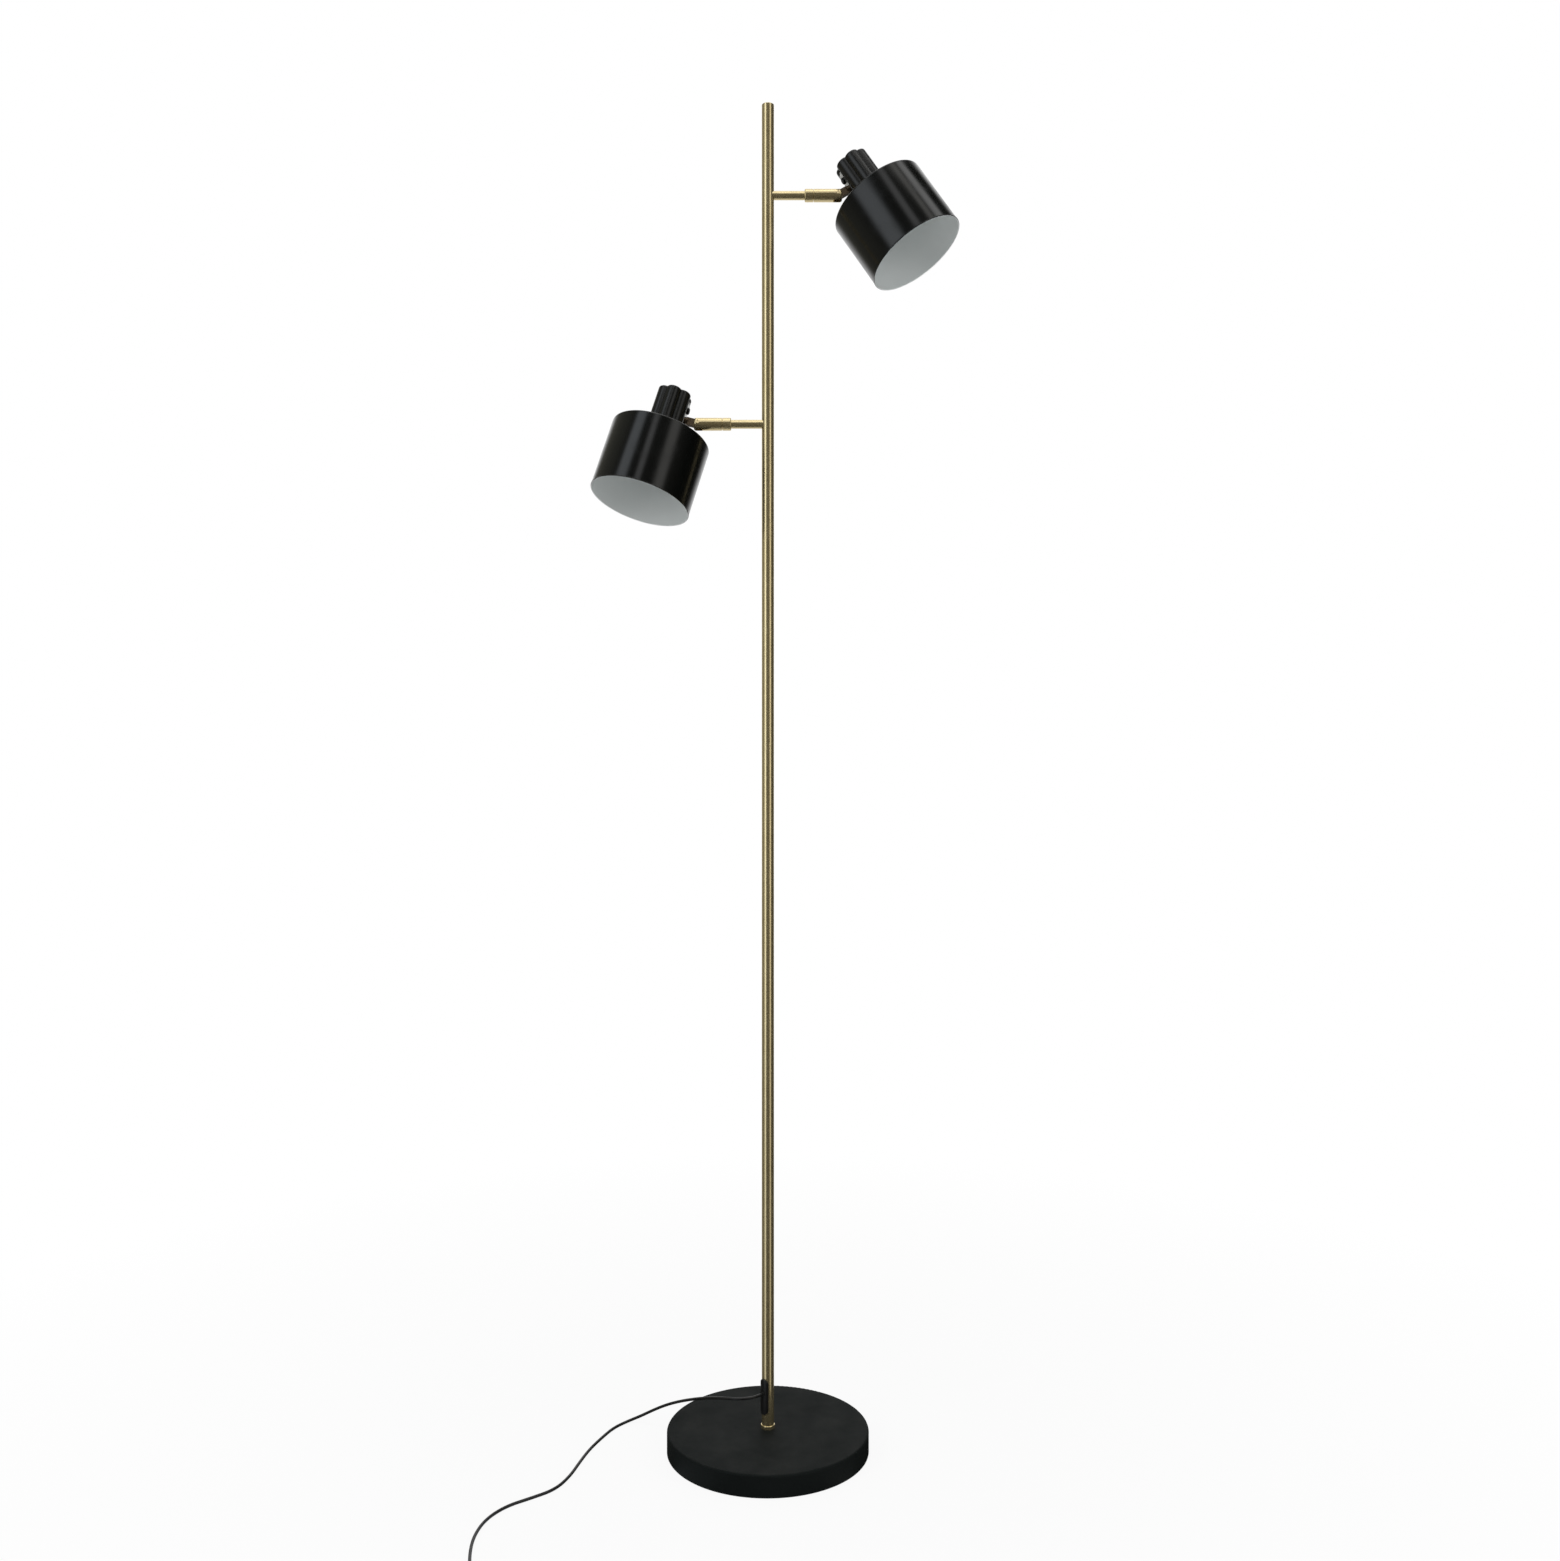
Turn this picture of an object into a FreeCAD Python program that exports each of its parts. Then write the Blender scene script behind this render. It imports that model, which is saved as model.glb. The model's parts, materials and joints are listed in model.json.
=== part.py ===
import FreeCAD, Part
import math
import os
import Sketcher
from FreeCAD import Placement, Rotation, Vector

# A floor lamp with two spot heads on one pole.
#
# Frame: millimetres, +Z up, the origin on the floor under the pole's axis. The upper
# head hangs towards +X, the lower head towards -X, and both are turned a little
# towards -Y. The cord leaves the foot of the pole towards -X and -Y.
#
# Each head has a frame of its own: its origin is the middle of the shade's top plate,
# +Z runs up the axis of the shade and the cover, and +X points to the pole.
# Each arm and barrel has its own +Z along the arm, away from the pole.

SIZES = {
    # Clearances, all of them radial or per side
    "fit_clearance": 0.05,
    "running_clearance": 0.06,
    "side_clearance": 0.15,
    "loose_clearance": 0.3,
    # Floor base: a steel shell over a dished cast weight on a foam pad
    "base_diameter": 230.0,
    "base_height": 25.0,
    "base_edge_radius": 2.5,
    "base_shell_wall": 1.2,
    "base_shell_lift": 0.8,
    "pad_thickness": 3.0,
    "pad_margin": 2.5,
    "weight_rim_width": 17.0,
    "weight_hub_diameter": 84.0,
    "weight_dish_depth": 8.0,
    "weight_dish_draft": 3.0,
    "nut_pocket_diameter": 44.0,
    "nut_pocket_depth": 10.0,
    "base_washer_diameter": 30.0,
    "base_washer_thickness": 2.0,
    # Hollow threaded nipples and hexagon nuts
    "nipple_diameter": 10.0,
    "nipple_bore": 8.0,
    "pipe_nut_flats": 14.0,
    "pipe_nut_thickness": 3.0,
    # Pole: three tubes screwed end to end
    "pole_diameter": 14.0,
    "pole_wall": 1.0,
    "lower_tube_length": 484.0,
    "middle_tube_length": 492.0,
    "pole_above_arm": 101.7,
    "bush_length": 15.0,
    "cap_thickness": 2.0,
    "cap_spigot_length": 8.0,
    "cap_edge_radius": 0.8,
    "ferrule_wall": 1.0,
    "ferrule_height": 4.0,
    # Cable outlet in the foot of the pole
    "outlet_height": 61.8,
    "outlet_length": 40.5,
    "outlet_width": 10.4,
    "outlet_stand_out": 1.6,
    "outlet_edge_radius": 0.5,
    "outlet_neck_length": 34.0,
    "outlet_neck_width": 6.6,
    "outlet_neck_depth": 1.2,
    "outlet_turn": -42.0,
    "nozzle_diameter": 5.4,
    "nozzle_length": 2.0,
    "nozzle_rise": 3.8,
    # Side arms
    "upper_arm_height": 1431.3,
    "lower_arm_height": 1170.2,
    "arm_diameter": 10.0,
    "arm_wall": 1.0,
    "arm_length": 70.0,
    "collar_diameter": 14.5,
    "collar_start": 42.0,
    "collar_length": 9.8,
    "collar_round": 1.0,
    "seam_width": 0.4,
    "seam_chamfer": 0.3,
    # Swivelling barrel, held on its arm by a snap ring
    "barrel_length": 32.5,
    "barrel_end_radius": 3.0,
    "barrel_socket_spare": 0.5,
    "ring_setback": 5.5,
    "ring_thickness": 1.0,
    "ring_inner_depth": 0.5,
    "ring_outer_depth": 1.0,
    "ring_gap": 3.0,
    "barrel_lead_hole": 4.0,
    "pivot_setback": 4.5,
    "fork_depth": 10.0,
    # Tilt knuckle
    "tongue_thickness": 5.0,
    "tongue_height": 9.0,
    "pivot_diameter": 4.0,
    "pivot_recess": 0.4,
    "pivot_slot_width": 0.8,
    "pivot_slot_depth": 0.8,
    "pivot_offset": 35.5,
    "pivot_rise": 26.5,
    "shoulder_length": 4.0,
    "stud_diameter": 6.0,
    "stud_bore": 3.0,
    "stud_nut_flats": 9.0,
    "stud_nut_thickness": 2.4,
    "stud_end": 0.5,
    # Strap between the knuckle and the lamp holder
    "strap_offset": 18.0,
    "strap_thickness": 1.5,
    "strap_width": 11.0,
    "strap_bottom": 3.0,
    "strap_top": 50.0,
    "strap_bend_radius": 1.5,
    "strap_reach": 8.0,
    "strap_corner_radius": 3.0,
    # Screw that holds the cover to the strap
    "cover_screw_rise": 39.0,
    "cover_screw_diameter": 4.0,
    "cover_screw_head": 8.0,
    "cover_screw_head_height": 2.4,
    "cover_screw_dome": 1.6,
    "cover_screw_slot": 1.1,
    # Cover: six rounded lobes round a plain bore
    "cover_height": 56.0,
    "cover_top_wall": 2.0,
    "cover_bore": 31.4,
    "lobe_offset": 9.1,
    "lobe_radius": 10.7,
    "lobe_edge_radius": 2.5,
    "slot_width": 12.5,
    "slot_top": 50.6,
    "cross_bar_height": 9.0,
    "cross_bar_thickness": 2.8,
    "cross_bar_span": 14.5,
    # Shade
    "shade_diameter": 114.2,
    "shade_depth": 83.0,
    "shade_wall": 0.8,
    "shade_corner_radius": 2.2,
    "shade_rim_bead": 0.4,
    # Lamp holder and the ring that clamps the shade to it
    "holder_diameter": 27.5,
    "holder_skirt_diameter": 28.0,
    "holder_skirt_length": 12.0,
    "holder_flange_diameter": 30.8,
    "holder_flange_height": 2.5,
    "holder_shoulder": 40.0,
    "holder_neck_diameter": 16.0,
    "holder_neck_rise": 46.5,
    "holder_thread_hole_depth": 5.0,
    "mouth_diameter": 17.2,
    "mouth_depth": 5.0,
    "shell_diameter": 15.0,
    "shell_wall": 0.4,
    "shell_length": 21.0,
    "shade_ring_diameter": 38.0,
    "shade_ring_height": 6.0,
    "shade_ring_chamfer": 1.2,
    "shade_ring_grips": 12.0,
    "shade_ring_grip_diameter": 3.0,
    # Pose of the heads at rest, in degrees
    "upper_tilt": 32.2,
    "upper_turn": -12.4,
    "lower_tilt": 15.9,
    "lower_turn": -14.0,
    # Leads inside the pole
    "lead_diameter": 2.6,
    "lead_foot_height": 46.0,
    "lead_bend_radius": 6.0,
    # Cord, its foot switch and its plug
    "cord_diameter": 3.3,
    "coil_inner_radius": 16.0,
    "coil_pitch": 3.8,
    "coil_layer_pitch": 3.75,
    "switch_length": 70.0,
    "switch_width": 30.0,
    "switch_base_height": 9.0,
    "switch_height": 20.0,
    "switch_end_radius": 13.0,
    "switch_top_round": 4.0,
    "switch_wall": 1.8,
    "switch_nozzle_diameter": 6.4,
    "switch_nozzle_length": 6.0,
    "switch_cord_height": 4.6,
    "button_diameter": 16.0,
    "button_stand_out": 5.0,
    "button_flange": 1.5,
    "button_flange_height": 1.5,
    "button_edge_radius": 1.0,
    "button_travel": 3.5,
    "plug_length": 36.0,
    "plug_width": 35.3,
    "plug_thickness": 13.7,
    "plug_end_width": 22.0,
    "plug_corner_radius": 4.0,
    "plug_edge_round": 2.5,
    "relief_length": 20.0,
    "relief_root_diameter": 9.0,
    "relief_tip_diameter": 5.0,
    "plug_pin_diameter": 4.0,
    "plug_pin_length": 19.0,
    "plug_pin_spacing": 18.6,
}

# The cord's route as points, each the corner of a rounded bend: from the outlet over
# the base's rim to the floor and on to the foot switch.
CORD_ROUTE = [
    (-14.5, -16.1, 66.0),
    (-25.8, -20.0, 66.0),
    (-38.6, -17.7, 64.8),
    (-54.2, -5.0, 60.6),
    (-70.0, 9.0, 54.6),
    (-86.0, 24.5, 46.6),
    (-103.0, 39.5, 37.6),
    (-119.5, 52.0, 28.2),
    (-136.0, 62.0, 17.6),
    (-152.0, 68.5, 7.4),
    (-168.0, 66.5, 1.8),
    (-182.0, 50.0, 1.65),
    (-192.5, 25.0, 1.65),
    (-203.0, -4.0, 1.65),
    (-210.0, -35.0, 1.65),
    (-216.0, -67.0, 1.65),
    (-227.5, -97.0, 1.65),
    (-250.0, -115.5, 1.65),
    (-274.0, -133.0, 1.65),
    (-290.0, -160.0, 1.65),
    (-295.0, -193.0, 1.65),
    (-292.0, -226.0, 1.65),
    (-285.0, -257.0, 1.65),
    (-274.0, -284.0, 1.65),
    (-255.0, -301.5, 2.2),
]
SWITCH_PLACE = (-189.0, -303.0)
COIL_PLACE = (-84.0, -296.0)
# From the foot switch to the coil, and from the coil to the plug.
LINK_ROUTE = [(-132.0, -303.0, 4.2), (-117.0, -311.5, 2.0), (-103.0, -319.8, 1.65)]
TAIL_ROUTE = [(-65.0, -319.8, 12.6), (-50.0, -318.0, 10.2), (-36.0, -315.5, 7.6)]
PLUG_PLACE = (-20.0, -315.0)
COIL_TURNS_PER_LAYER = 2
COIL_LAYERS = 4

doc = FreeCAD.newDocument("floor_lamp")
subparts = []


class Size:
    """A length, angle or count: its value now, and the expression that it follows."""

    def __init__(self, value, text):
        self.value = float(value)
        self.text = text

    def __add__(self, other):
        other = as_size(other)
        return Size(self.value + other.value, f"({self.text} + {other.text})")

    def __sub__(self, other):
        other = as_size(other)
        return Size(self.value - other.value, f"({self.text} - {other.text})")

    def __rsub__(self, other):
        return as_size(other) - self

    def __mul__(self, other):
        other = as_size(other)
        return Size(self.value * other.value, f"({self.text} * {other.text})")

    def __truediv__(self, other):
        other = as_size(other)
        return Size(self.value / other.value, f"({self.text} / {other.text})")

    def __neg__(self):
        return Size(-self.value, f"(0 - {self.text})")


def as_size(item):
    """Give a plain number the form of a size."""
    return item if isinstance(item, Size) else Size(item, f"({float(item)!r})")


class SizeSheet:
    """The document's spreadsheet of driving dimensions, read by name."""

    def __init__(self, values):
        self._sheet = doc.addObject("Spreadsheet::Sheet", "Sizes")
        for row, (name, value) in enumerate(values.items(), start=1):
            self._sheet.set(f"A{row}", name)
            self._sheet.set(f"B{row}", str(value))
            self._sheet.setAlias(f"B{row}", name)
        doc.recompute()

    def __getattr__(self, name):
        return Size(self._sheet.get(name), f"Sizes.{name}")


s = SizeSheet(SIZES)


# Sketches and features


def new_body(label):
    """Start a sub-part as a body of its own."""
    body = doc.addObject("PartDesign::Body", label)
    body.Label = label
    subparts.append(body)
    return body


def sketch_on(body, role, offset=None):
    """Attach a new sketch to one of the body's own origin planes."""
    plane = next(item for item in body.Origin.OriginFeatures if item.Role == role)
    sketch = body.newObject("Sketcher::SketchObject", f"{body.Label}_sketch")
    sketch.AttachmentSupport = [(plane, "")]
    sketch.MapMode = "FlatFace"
    if offset is not None:
        sketch.AttachmentOffset = Placement(Vector(0, 0, offset.value), Rotation())
        sketch.setExpression("AttachmentOffset.Base.z", offset.text)
    return sketch


def fix_size(sketch, kind, size, *where):
    """Add one dimension to a sketch and bind it to its size."""
    index = sketch.addConstraint(Sketcher.Constraint(kind, *where, size.value))
    sketch.setExpression(f"Constraints[{index}]", size.text)


def fix_point(sketch, item, end, x, y):
    """Dimension one point of a sketch from the origin."""
    fix_size(sketch, "DistanceX", as_size(x), -1, 1, item, end)
    fix_size(sketch, "DistanceY", as_size(y), -1, 1, item, end)


def circle(sketch, diameter, x=0, y=0):
    """Draw a circle round x, y."""
    x, y = as_size(x), as_size(y)
    shape = Part.Circle(Vector(x.value, y.value, 0), Vector(0, 0, 1), diameter.value / 2)
    item = sketch.addGeometry(shape)
    fix_point(sketch, item, 3, x, y)
    fix_size(sketch, "Diameter", diameter, item)


def corner_arc(corner, before, after, radius):
    """Work out the arc that rounds a corner, and which of its ends comes first."""
    back = (before - corner).normalize()
    ahead = (after - corner).normalize()
    half = back.getAngle(ahead) / 2
    centre = corner + (back + ahead).normalize() * (radius / math.sin(half))
    reach = radius / math.tan(half)
    enter, leave = corner + back * reach, corner + ahead * reach
    clockwise = (corner - before).cross(after - corner).z < 0
    first, last = (leave, enter) if clockwise else (enter, leave)
    angles = [math.atan2(p.y - centre.y, p.x - centre.x) for p in (first, last)]
    arc = Part.ArcOfCircle(Part.Circle(centre, Vector(0, 0, 1), radius), *angles)
    return arc, enter, leave, clockwise


def outline(sketch, corners):
    """Draw a closed outline through corners; a third value rounds that corner."""
    corners = [[as_size(value) for value in corner] for corner in corners]
    points = [Vector(corner[0].value, corner[1].value, 0) for corner in corners]
    count = len(points)
    arrive, depart, arcs = list(points), list(points), {}
    for i, corner in enumerate(corners):
        if len(corner) == 3:
            shape, arrive[i], depart[i], clockwise = corner_arc(
                points[i], points[i - 1], points[(i + 1) % count], corner[2].value
            )
            arcs[i] = (shape, clockwise)
    sides = [
        sketch.addGeometry(Part.LineSegment(depart[i], arrive[(i + 1) % count]))
        for i in range(count)
    ]
    for i, corner in enumerate(corners):
        into, out_of = sides[i - 1], sides[i]
        if i not in arcs:
            sketch.addConstraint(Sketcher.Constraint("Coincident", into, 2, out_of, 1))
            fix_point(sketch, out_of, 1, corner[0], corner[1])
            continue
        shape, clockwise = arcs[i]
        arc = sketch.addGeometry(shape)
        enter_end, leave_end = (2, 1) if clockwise else (1, 2)
        mark = sketch.addGeometry(Part.Point(points[i]), True)
        fix_point(sketch, mark, 1, corner[0], corner[1])
        for constraint in (
            Sketcher.Constraint("PointOnObject", mark, 1, into),
            Sketcher.Constraint("PointOnObject", mark, 1, out_of),
            Sketcher.Constraint("Tangent", into, 2, arc, enter_end),
            Sketcher.Constraint("Tangent", arc, leave_end, out_of, 1),
        ):
            sketch.addConstraint(constraint)
        fix_size(sketch, "Radius", corner[2], arc)


def rectangle(sketch, left, right, bottom, top):
    """Draw an upright rectangle."""
    outline(sketch, [(left, bottom), (right, bottom), (right, top), (left, top)])


def hexagon(sketch, flats):
    """Draw a hexagon round the origin."""
    reach = flats / math.sqrt(3)
    angles = [math.radians(60 * i) for i in range(6)]
    outline(sketch, [(reach * math.cos(a), reach * math.sin(a)) for a in angles])


def stadium(sketch, width, length, middle=0):
    """Draw an upright oblong with round ends."""
    radius, middle = width / 2, as_size(middle)
    rise = (length - width) / 2
    top, bottom = middle + rise, middle - rise
    ends = []
    for centre, start in ((top, 0), (bottom, math.pi)):
        whole = Part.Circle(Vector(0, centre.value, 0), Vector(0, 0, 1), radius.value)
        end = sketch.addGeometry(Part.ArcOfCircle(whole, start, start + math.pi))
        fix_point(sketch, end, 3, 0, centre)
        ends.append(end)
    fix_size(sketch, "Radius", radius, ends[0])
    for near, far, side in ((ends[0], ends[1], -1), (ends[1], ends[0], 1)):
        points = [Vector(side * radius.value, y.value, 0) for y in (top, bottom)]
        line = sketch.addGeometry(Part.LineSegment(*points[::-side]))
        sketch.addConstraint(Sketcher.Constraint("Tangent", near, 2, line, 1))
        sketch.addConstraint(Sketcher.Constraint("Tangent", line, 2, far, 1))


def bind(feature, path, size):
    """Bind one property to its size."""
    feature.setExpression(path, as_size(size).text)


def add_pad(body, sketch, length, symmetric=False, reverse=False):
    """Raise a sketch into material."""
    pad = body.newObject("PartDesign::Pad", f"{body.Label}_pad")
    pad.Profile = sketch
    pad.SideType = "Symmetric" if symmetric else "One side"
    pad.Reversed = reverse
    bind(pad, "Length", length)
    return pad


def add_pocket(body, sketch, depth=None, symmetric=False, reverse=False):
    """Cut a sketch out of the body, through all of it if there is no depth."""
    doc.recompute()
    before = body.Shape.Volume
    pocket = body.newObject("PartDesign::Pocket", f"{body.Label}_pocket")
    pocket.Profile = sketch
    pocket.SideType = "Symmetric" if symmetric else "One side"
    pocket.Reversed = reverse
    if depth is None:
        pocket.Type = "ThroughAll"
    else:
        bind(pocket, "Length", depth)
    doc.recompute()
    if body.Shape.Volume > before - 0.01:
        raise RuntimeError(f"a pocket of {body.Label} cuts nothing")
    return pocket


def add_pattern(body, feature, count):
    """Repeat a feature evenly round the body's Z axis."""
    axis = next(item for item in body.Origin.OriginFeatures if item.Role == "Z_Axis")
    pattern = body.newObject("PartDesign::PolarPattern", f"{body.Label}_pattern")
    pattern.Originals = [feature]
    pattern.Axis = (axis, [""])
    pattern.Angle = 360
    bind(pattern, "Occurrences", count)
    body.Tip = pattern
    return pattern


def add_edge_feature(body, kind, size, wanted):
    """Fillet or chamfer the edges of the body's last feature that wanted() picks."""
    doc.recompute()
    last = body.Tip
    names = [f"Edge{i}" for i, edge in enumerate(last.Shape.Edges, 1) if wanted(edge)]
    if not names:
        raise RuntimeError(f"{body.Label} has no such edges to finish")
    feature = body.newObject(f"PartDesign::{kind}", f"{body.Label}_{kind.lower()}")
    feature.Base = (last, names)
    bind(feature, "Radius" if kind == "Fillet" else "Size", size)
    return feature


def turned(label, corners):
    """Turn a body about its own Z axis from corners of (radius, height)."""
    body = new_body(label)
    sketch = sketch_on(body, "XZ_Plane")
    outline(sketch, corners)
    turn = body.newObject("PartDesign::Revolution", f"{label}_turn")
    turn.Profile = sketch
    turn.ReferenceAxis = (sketch, ["V_Axis"])
    turn.Angle = 360
    return body


def tube(label, diameter, bore, length):
    """Raise a plain tube or ring from its own floor plane."""
    body = new_body(label)
    sketch = sketch_on(body, "XY_Plane")
    circle(sketch, diameter)
    circle(sketch, bore)
    add_pad(body, sketch, length)
    return body


def raise_to(body, height):
    """Stand a body at a height on the lamp's axis."""
    body.Placement = Placement(Vector(0, 0, as_size(height).value), Rotation())
    bind(body, "Placement.Base.z", height)
    return body


def group(label, members):
    """Join like pieces into one sub-part of separate solids."""
    for number, member in enumerate(members, start=1):
        subparts.remove(member)
        member.Label = f"{label}_{number}"
    compound = doc.addObject("Part::Compound", label)
    compound.Label = label
    compound.Links = members
    subparts.append(compound)


# Floor base


def build_base():
    """Build the shell, the weight, the pad and what bolts them to the pole."""
    outer = s.base_diameter / 2
    inner = outer - s.base_shell_wall
    under = s.base_height - s.base_shell_wall
    hole = s.nipple_diameter / 2 + s.fit_clearance
    turned(
        "base_shell",
        [
            (hole, s.base_height),
            (outer, s.base_height, s.base_edge_radius),
            (outer, s.base_shell_lift),
            (inner, s.base_shell_lift),
            (inner, under, s.base_edge_radius - s.base_shell_wall),
            (hole, under),
        ],
    )
    edge = inner - s.loose_clearance
    rim = edge - s.weight_rim_width
    hub = s.weight_hub_diameter / 2
    floor = s.pad_thickness
    ceiling = floor + s.weight_dish_depth
    pocket = s.nut_pocket_diameter / 2
    pocket_top = floor + s.nut_pocket_depth
    turned(
        "base_weight",
        [
            (hole, under - s.fit_clearance),
            (edge, under - s.fit_clearance, s.base_edge_radius),
            (edge, floor),
            (rim, floor),
            (rim - s.weight_dish_draft, ceiling),
            (hub + s.weight_dish_draft, ceiling),
            (hub, floor),
            (pocket, floor),
            (pocket, pocket_top),
            (hole, pocket_top),
        ],
    )
    pad = new_body("base_pad")
    sketch = sketch_on(pad, "XY_Plane")
    circle(sketch, (edge - s.pad_margin) * 2)
    add_pad(pad, sketch, s.pad_thickness)
    washer_bottom = pocket_top - s.base_washer_thickness
    washer = tube(
        "base_washer", s.base_washer_diameter, hole * 2, s.base_washer_thickness
    )
    raise_to(washer, washer_bottom)
    nut_bottom = washer_bottom - s.pipe_nut_thickness
    raise_to(pipe_nut("base_nut"), nut_bottom)
    nipple_bottom = nut_bottom - s.loose_clearance
    length = s.base_height + s.bush_length - nipple_bottom
    nipple = tube("base_nipple", s.nipple_diameter, s.nipple_bore, length)
    raise_to(nipple, nipple_bottom)


def pipe_nut(label):
    """Raise a hexagon nut for the hollow nipples."""
    nut = new_body(label)
    sketch = sketch_on(nut, "XY_Plane")
    hexagon(sketch, s.pipe_nut_flats)
    circle(sketch, s.nipple_diameter + s.fit_clearance * 2)
    add_pad(nut, sketch, s.pipe_nut_thickness)
    return nut


# Pole


def build_pole():
    """Build the three tubes, their bushes and nipples, the ferrule and the cap."""
    radius = s.pole_diameter / 2
    bore = s.pole_diameter - s.pole_wall * 2
    first_seam = s.base_height + s.lower_tube_length
    second_seam = first_seam + s.middle_tube_length
    top = s.upper_arm_height + s.pole_above_arm

    lower = tube("pole_lower_tube", s.pole_diameter, bore, s.lower_tube_length)
    window = sketch_on(lower, "XZ_Plane")
    stadium(
        window,
        s.outlet_neck_width + s.loose_clearance * 2,
        s.outlet_neck_length + s.loose_clearance * 2,
        s.outlet_height - s.base_height,
    )
    add_pocket(lower, window, reverse=True)
    raise_to(lower, s.base_height)
    lower.Placement = Placement(lower.Placement.Base, outlet_rotation())

    middle = tube("pole_middle_tube", s.pole_diameter, bore, s.middle_tube_length)
    raise_to(middle, first_seam)
    upper = tube("pole_upper_tube", s.pole_diameter, bore, top - second_seam)
    for height, backwards in ((s.upper_arm_height, True), (s.lower_arm_height, False)):
        hole = sketch_on(upper, "YZ_Plane")
        circle(hole, s.arm_diameter - s.arm_wall * 2, 0, height - second_seam)
        add_pocket(upper, hole, reverse=backwards)
    raise_to(upper, second_seam)

    ferrule_bore = radius + s.fit_clearance
    ferrule_edge = ferrule_bore + s.ferrule_wall
    ferrule = turned(
        "pole_ferrule",
        [
            (ferrule_bore, 0),
            (ferrule_edge, 0),
            (ferrule_edge, s.ferrule_height, s.ferrule_wall * 0.8),
            (ferrule_bore, s.ferrule_height),
        ],
    )
    raise_to(ferrule, s.base_height)
    spigot = bore / 2 - s.fit_clearance
    cap = turned(
        "pole_cap",
        [
            (0, -s.cap_spigot_length),
            (spigot, -s.cap_spigot_length),
            (spigot, 0),
            (radius, 0),
            (radius, s.cap_thickness, s.cap_edge_radius),
            (0, s.cap_thickness),
        ],
    )
    raise_to(cap, top)

    bush_feet = [s.base_height]
    nipples = []
    for seam in (first_seam, second_seam):
        bush_feet += [seam - s.bush_length, seam]
        nipple = tube(
            "pole_nipple", s.nipple_diameter, s.nipple_bore, s.bush_length * 2
        )
        nipples.append(raise_to(nipple, seam - s.bush_length))
    bushes = [
        raise_to(
            tube(
                "pole_bush",
                bore - s.fit_clearance * 2,
                s.nipple_diameter + s.fit_clearance * 2,
                s.bush_length,
            ),
            foot,
        )
        for foot in bush_feet
    ]
    group("pole_bushes", bushes)
    group("pole_nipples", nipples)


def outlet_rotation():
    """Turn -Y to the side where the cord leaves the pole."""
    return Rotation(Vector(0, 0, 1), s.outlet_turn.value)


def build_outlet():
    """Build the oblong cable outlet: a saddle on the pole, its neck and its nozzle."""
    outlet = new_body("cable_outlet")
    saddle_outer = s.pole_diameter / 2 + s.outlet_stand_out
    blank = sketch_on(outlet, "XZ_Plane")
    stadium(blank, s.outlet_width, s.outlet_length)
    add_pad(outlet, blank, saddle_outer)
    outside = sketch_on(outlet, "XY_Plane")
    circle(outside, saddle_outer * 2)
    circle(outside, s.pole_diameter * 3)
    add_pocket(outlet, outside, symmetric=True)
    inside = sketch_on(outlet, "XY_Plane")
    circle(inside, s.pole_diameter + s.fit_clearance * 2)
    add_pocket(outlet, inside, symmetric=True)
    add_edge_feature(
        outlet,
        "Fillet",
        s.outlet_edge_radius,
        lambda edge: all(
            math.hypot(v.X, v.Y) > saddle_outer.value - 0.01 for v in edge.Vertexes
        ),
    )
    neck_start = s.pole_diameter / 2 - s.pole_wall - s.outlet_neck_depth
    neck = sketch_on(outlet, "XZ_Plane", neck_start)
    stadium(neck, s.outlet_neck_width, s.outlet_neck_length)
    add_pad(outlet, neck, saddle_outer - s.outlet_stand_out / 2 - neck_start)
    nozzle = sketch_on(outlet, "XZ_Plane", saddle_outer - s.outlet_stand_out / 2)
    circle(nozzle, s.nozzle_diameter, 0, s.nozzle_rise)
    add_pad(outlet, nozzle, s.nozzle_length + s.outlet_stand_out / 2)
    raise_to(outlet, s.outlet_height)
    outlet.Placement = Placement(outlet.Placement.Base, outlet_rotation())


# Side arms and their barrels


def arm_placement(side, height, turn=0.0):
    """Place a piece whose own +Z runs along an arm; side is +1 or -1 along X."""
    along = Rotation(Vector(0, 1, 0), 90 * side)
    return Placement(Vector(0, 0, height), Rotation(Vector(1, 0, 0), turn) * along)


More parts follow.
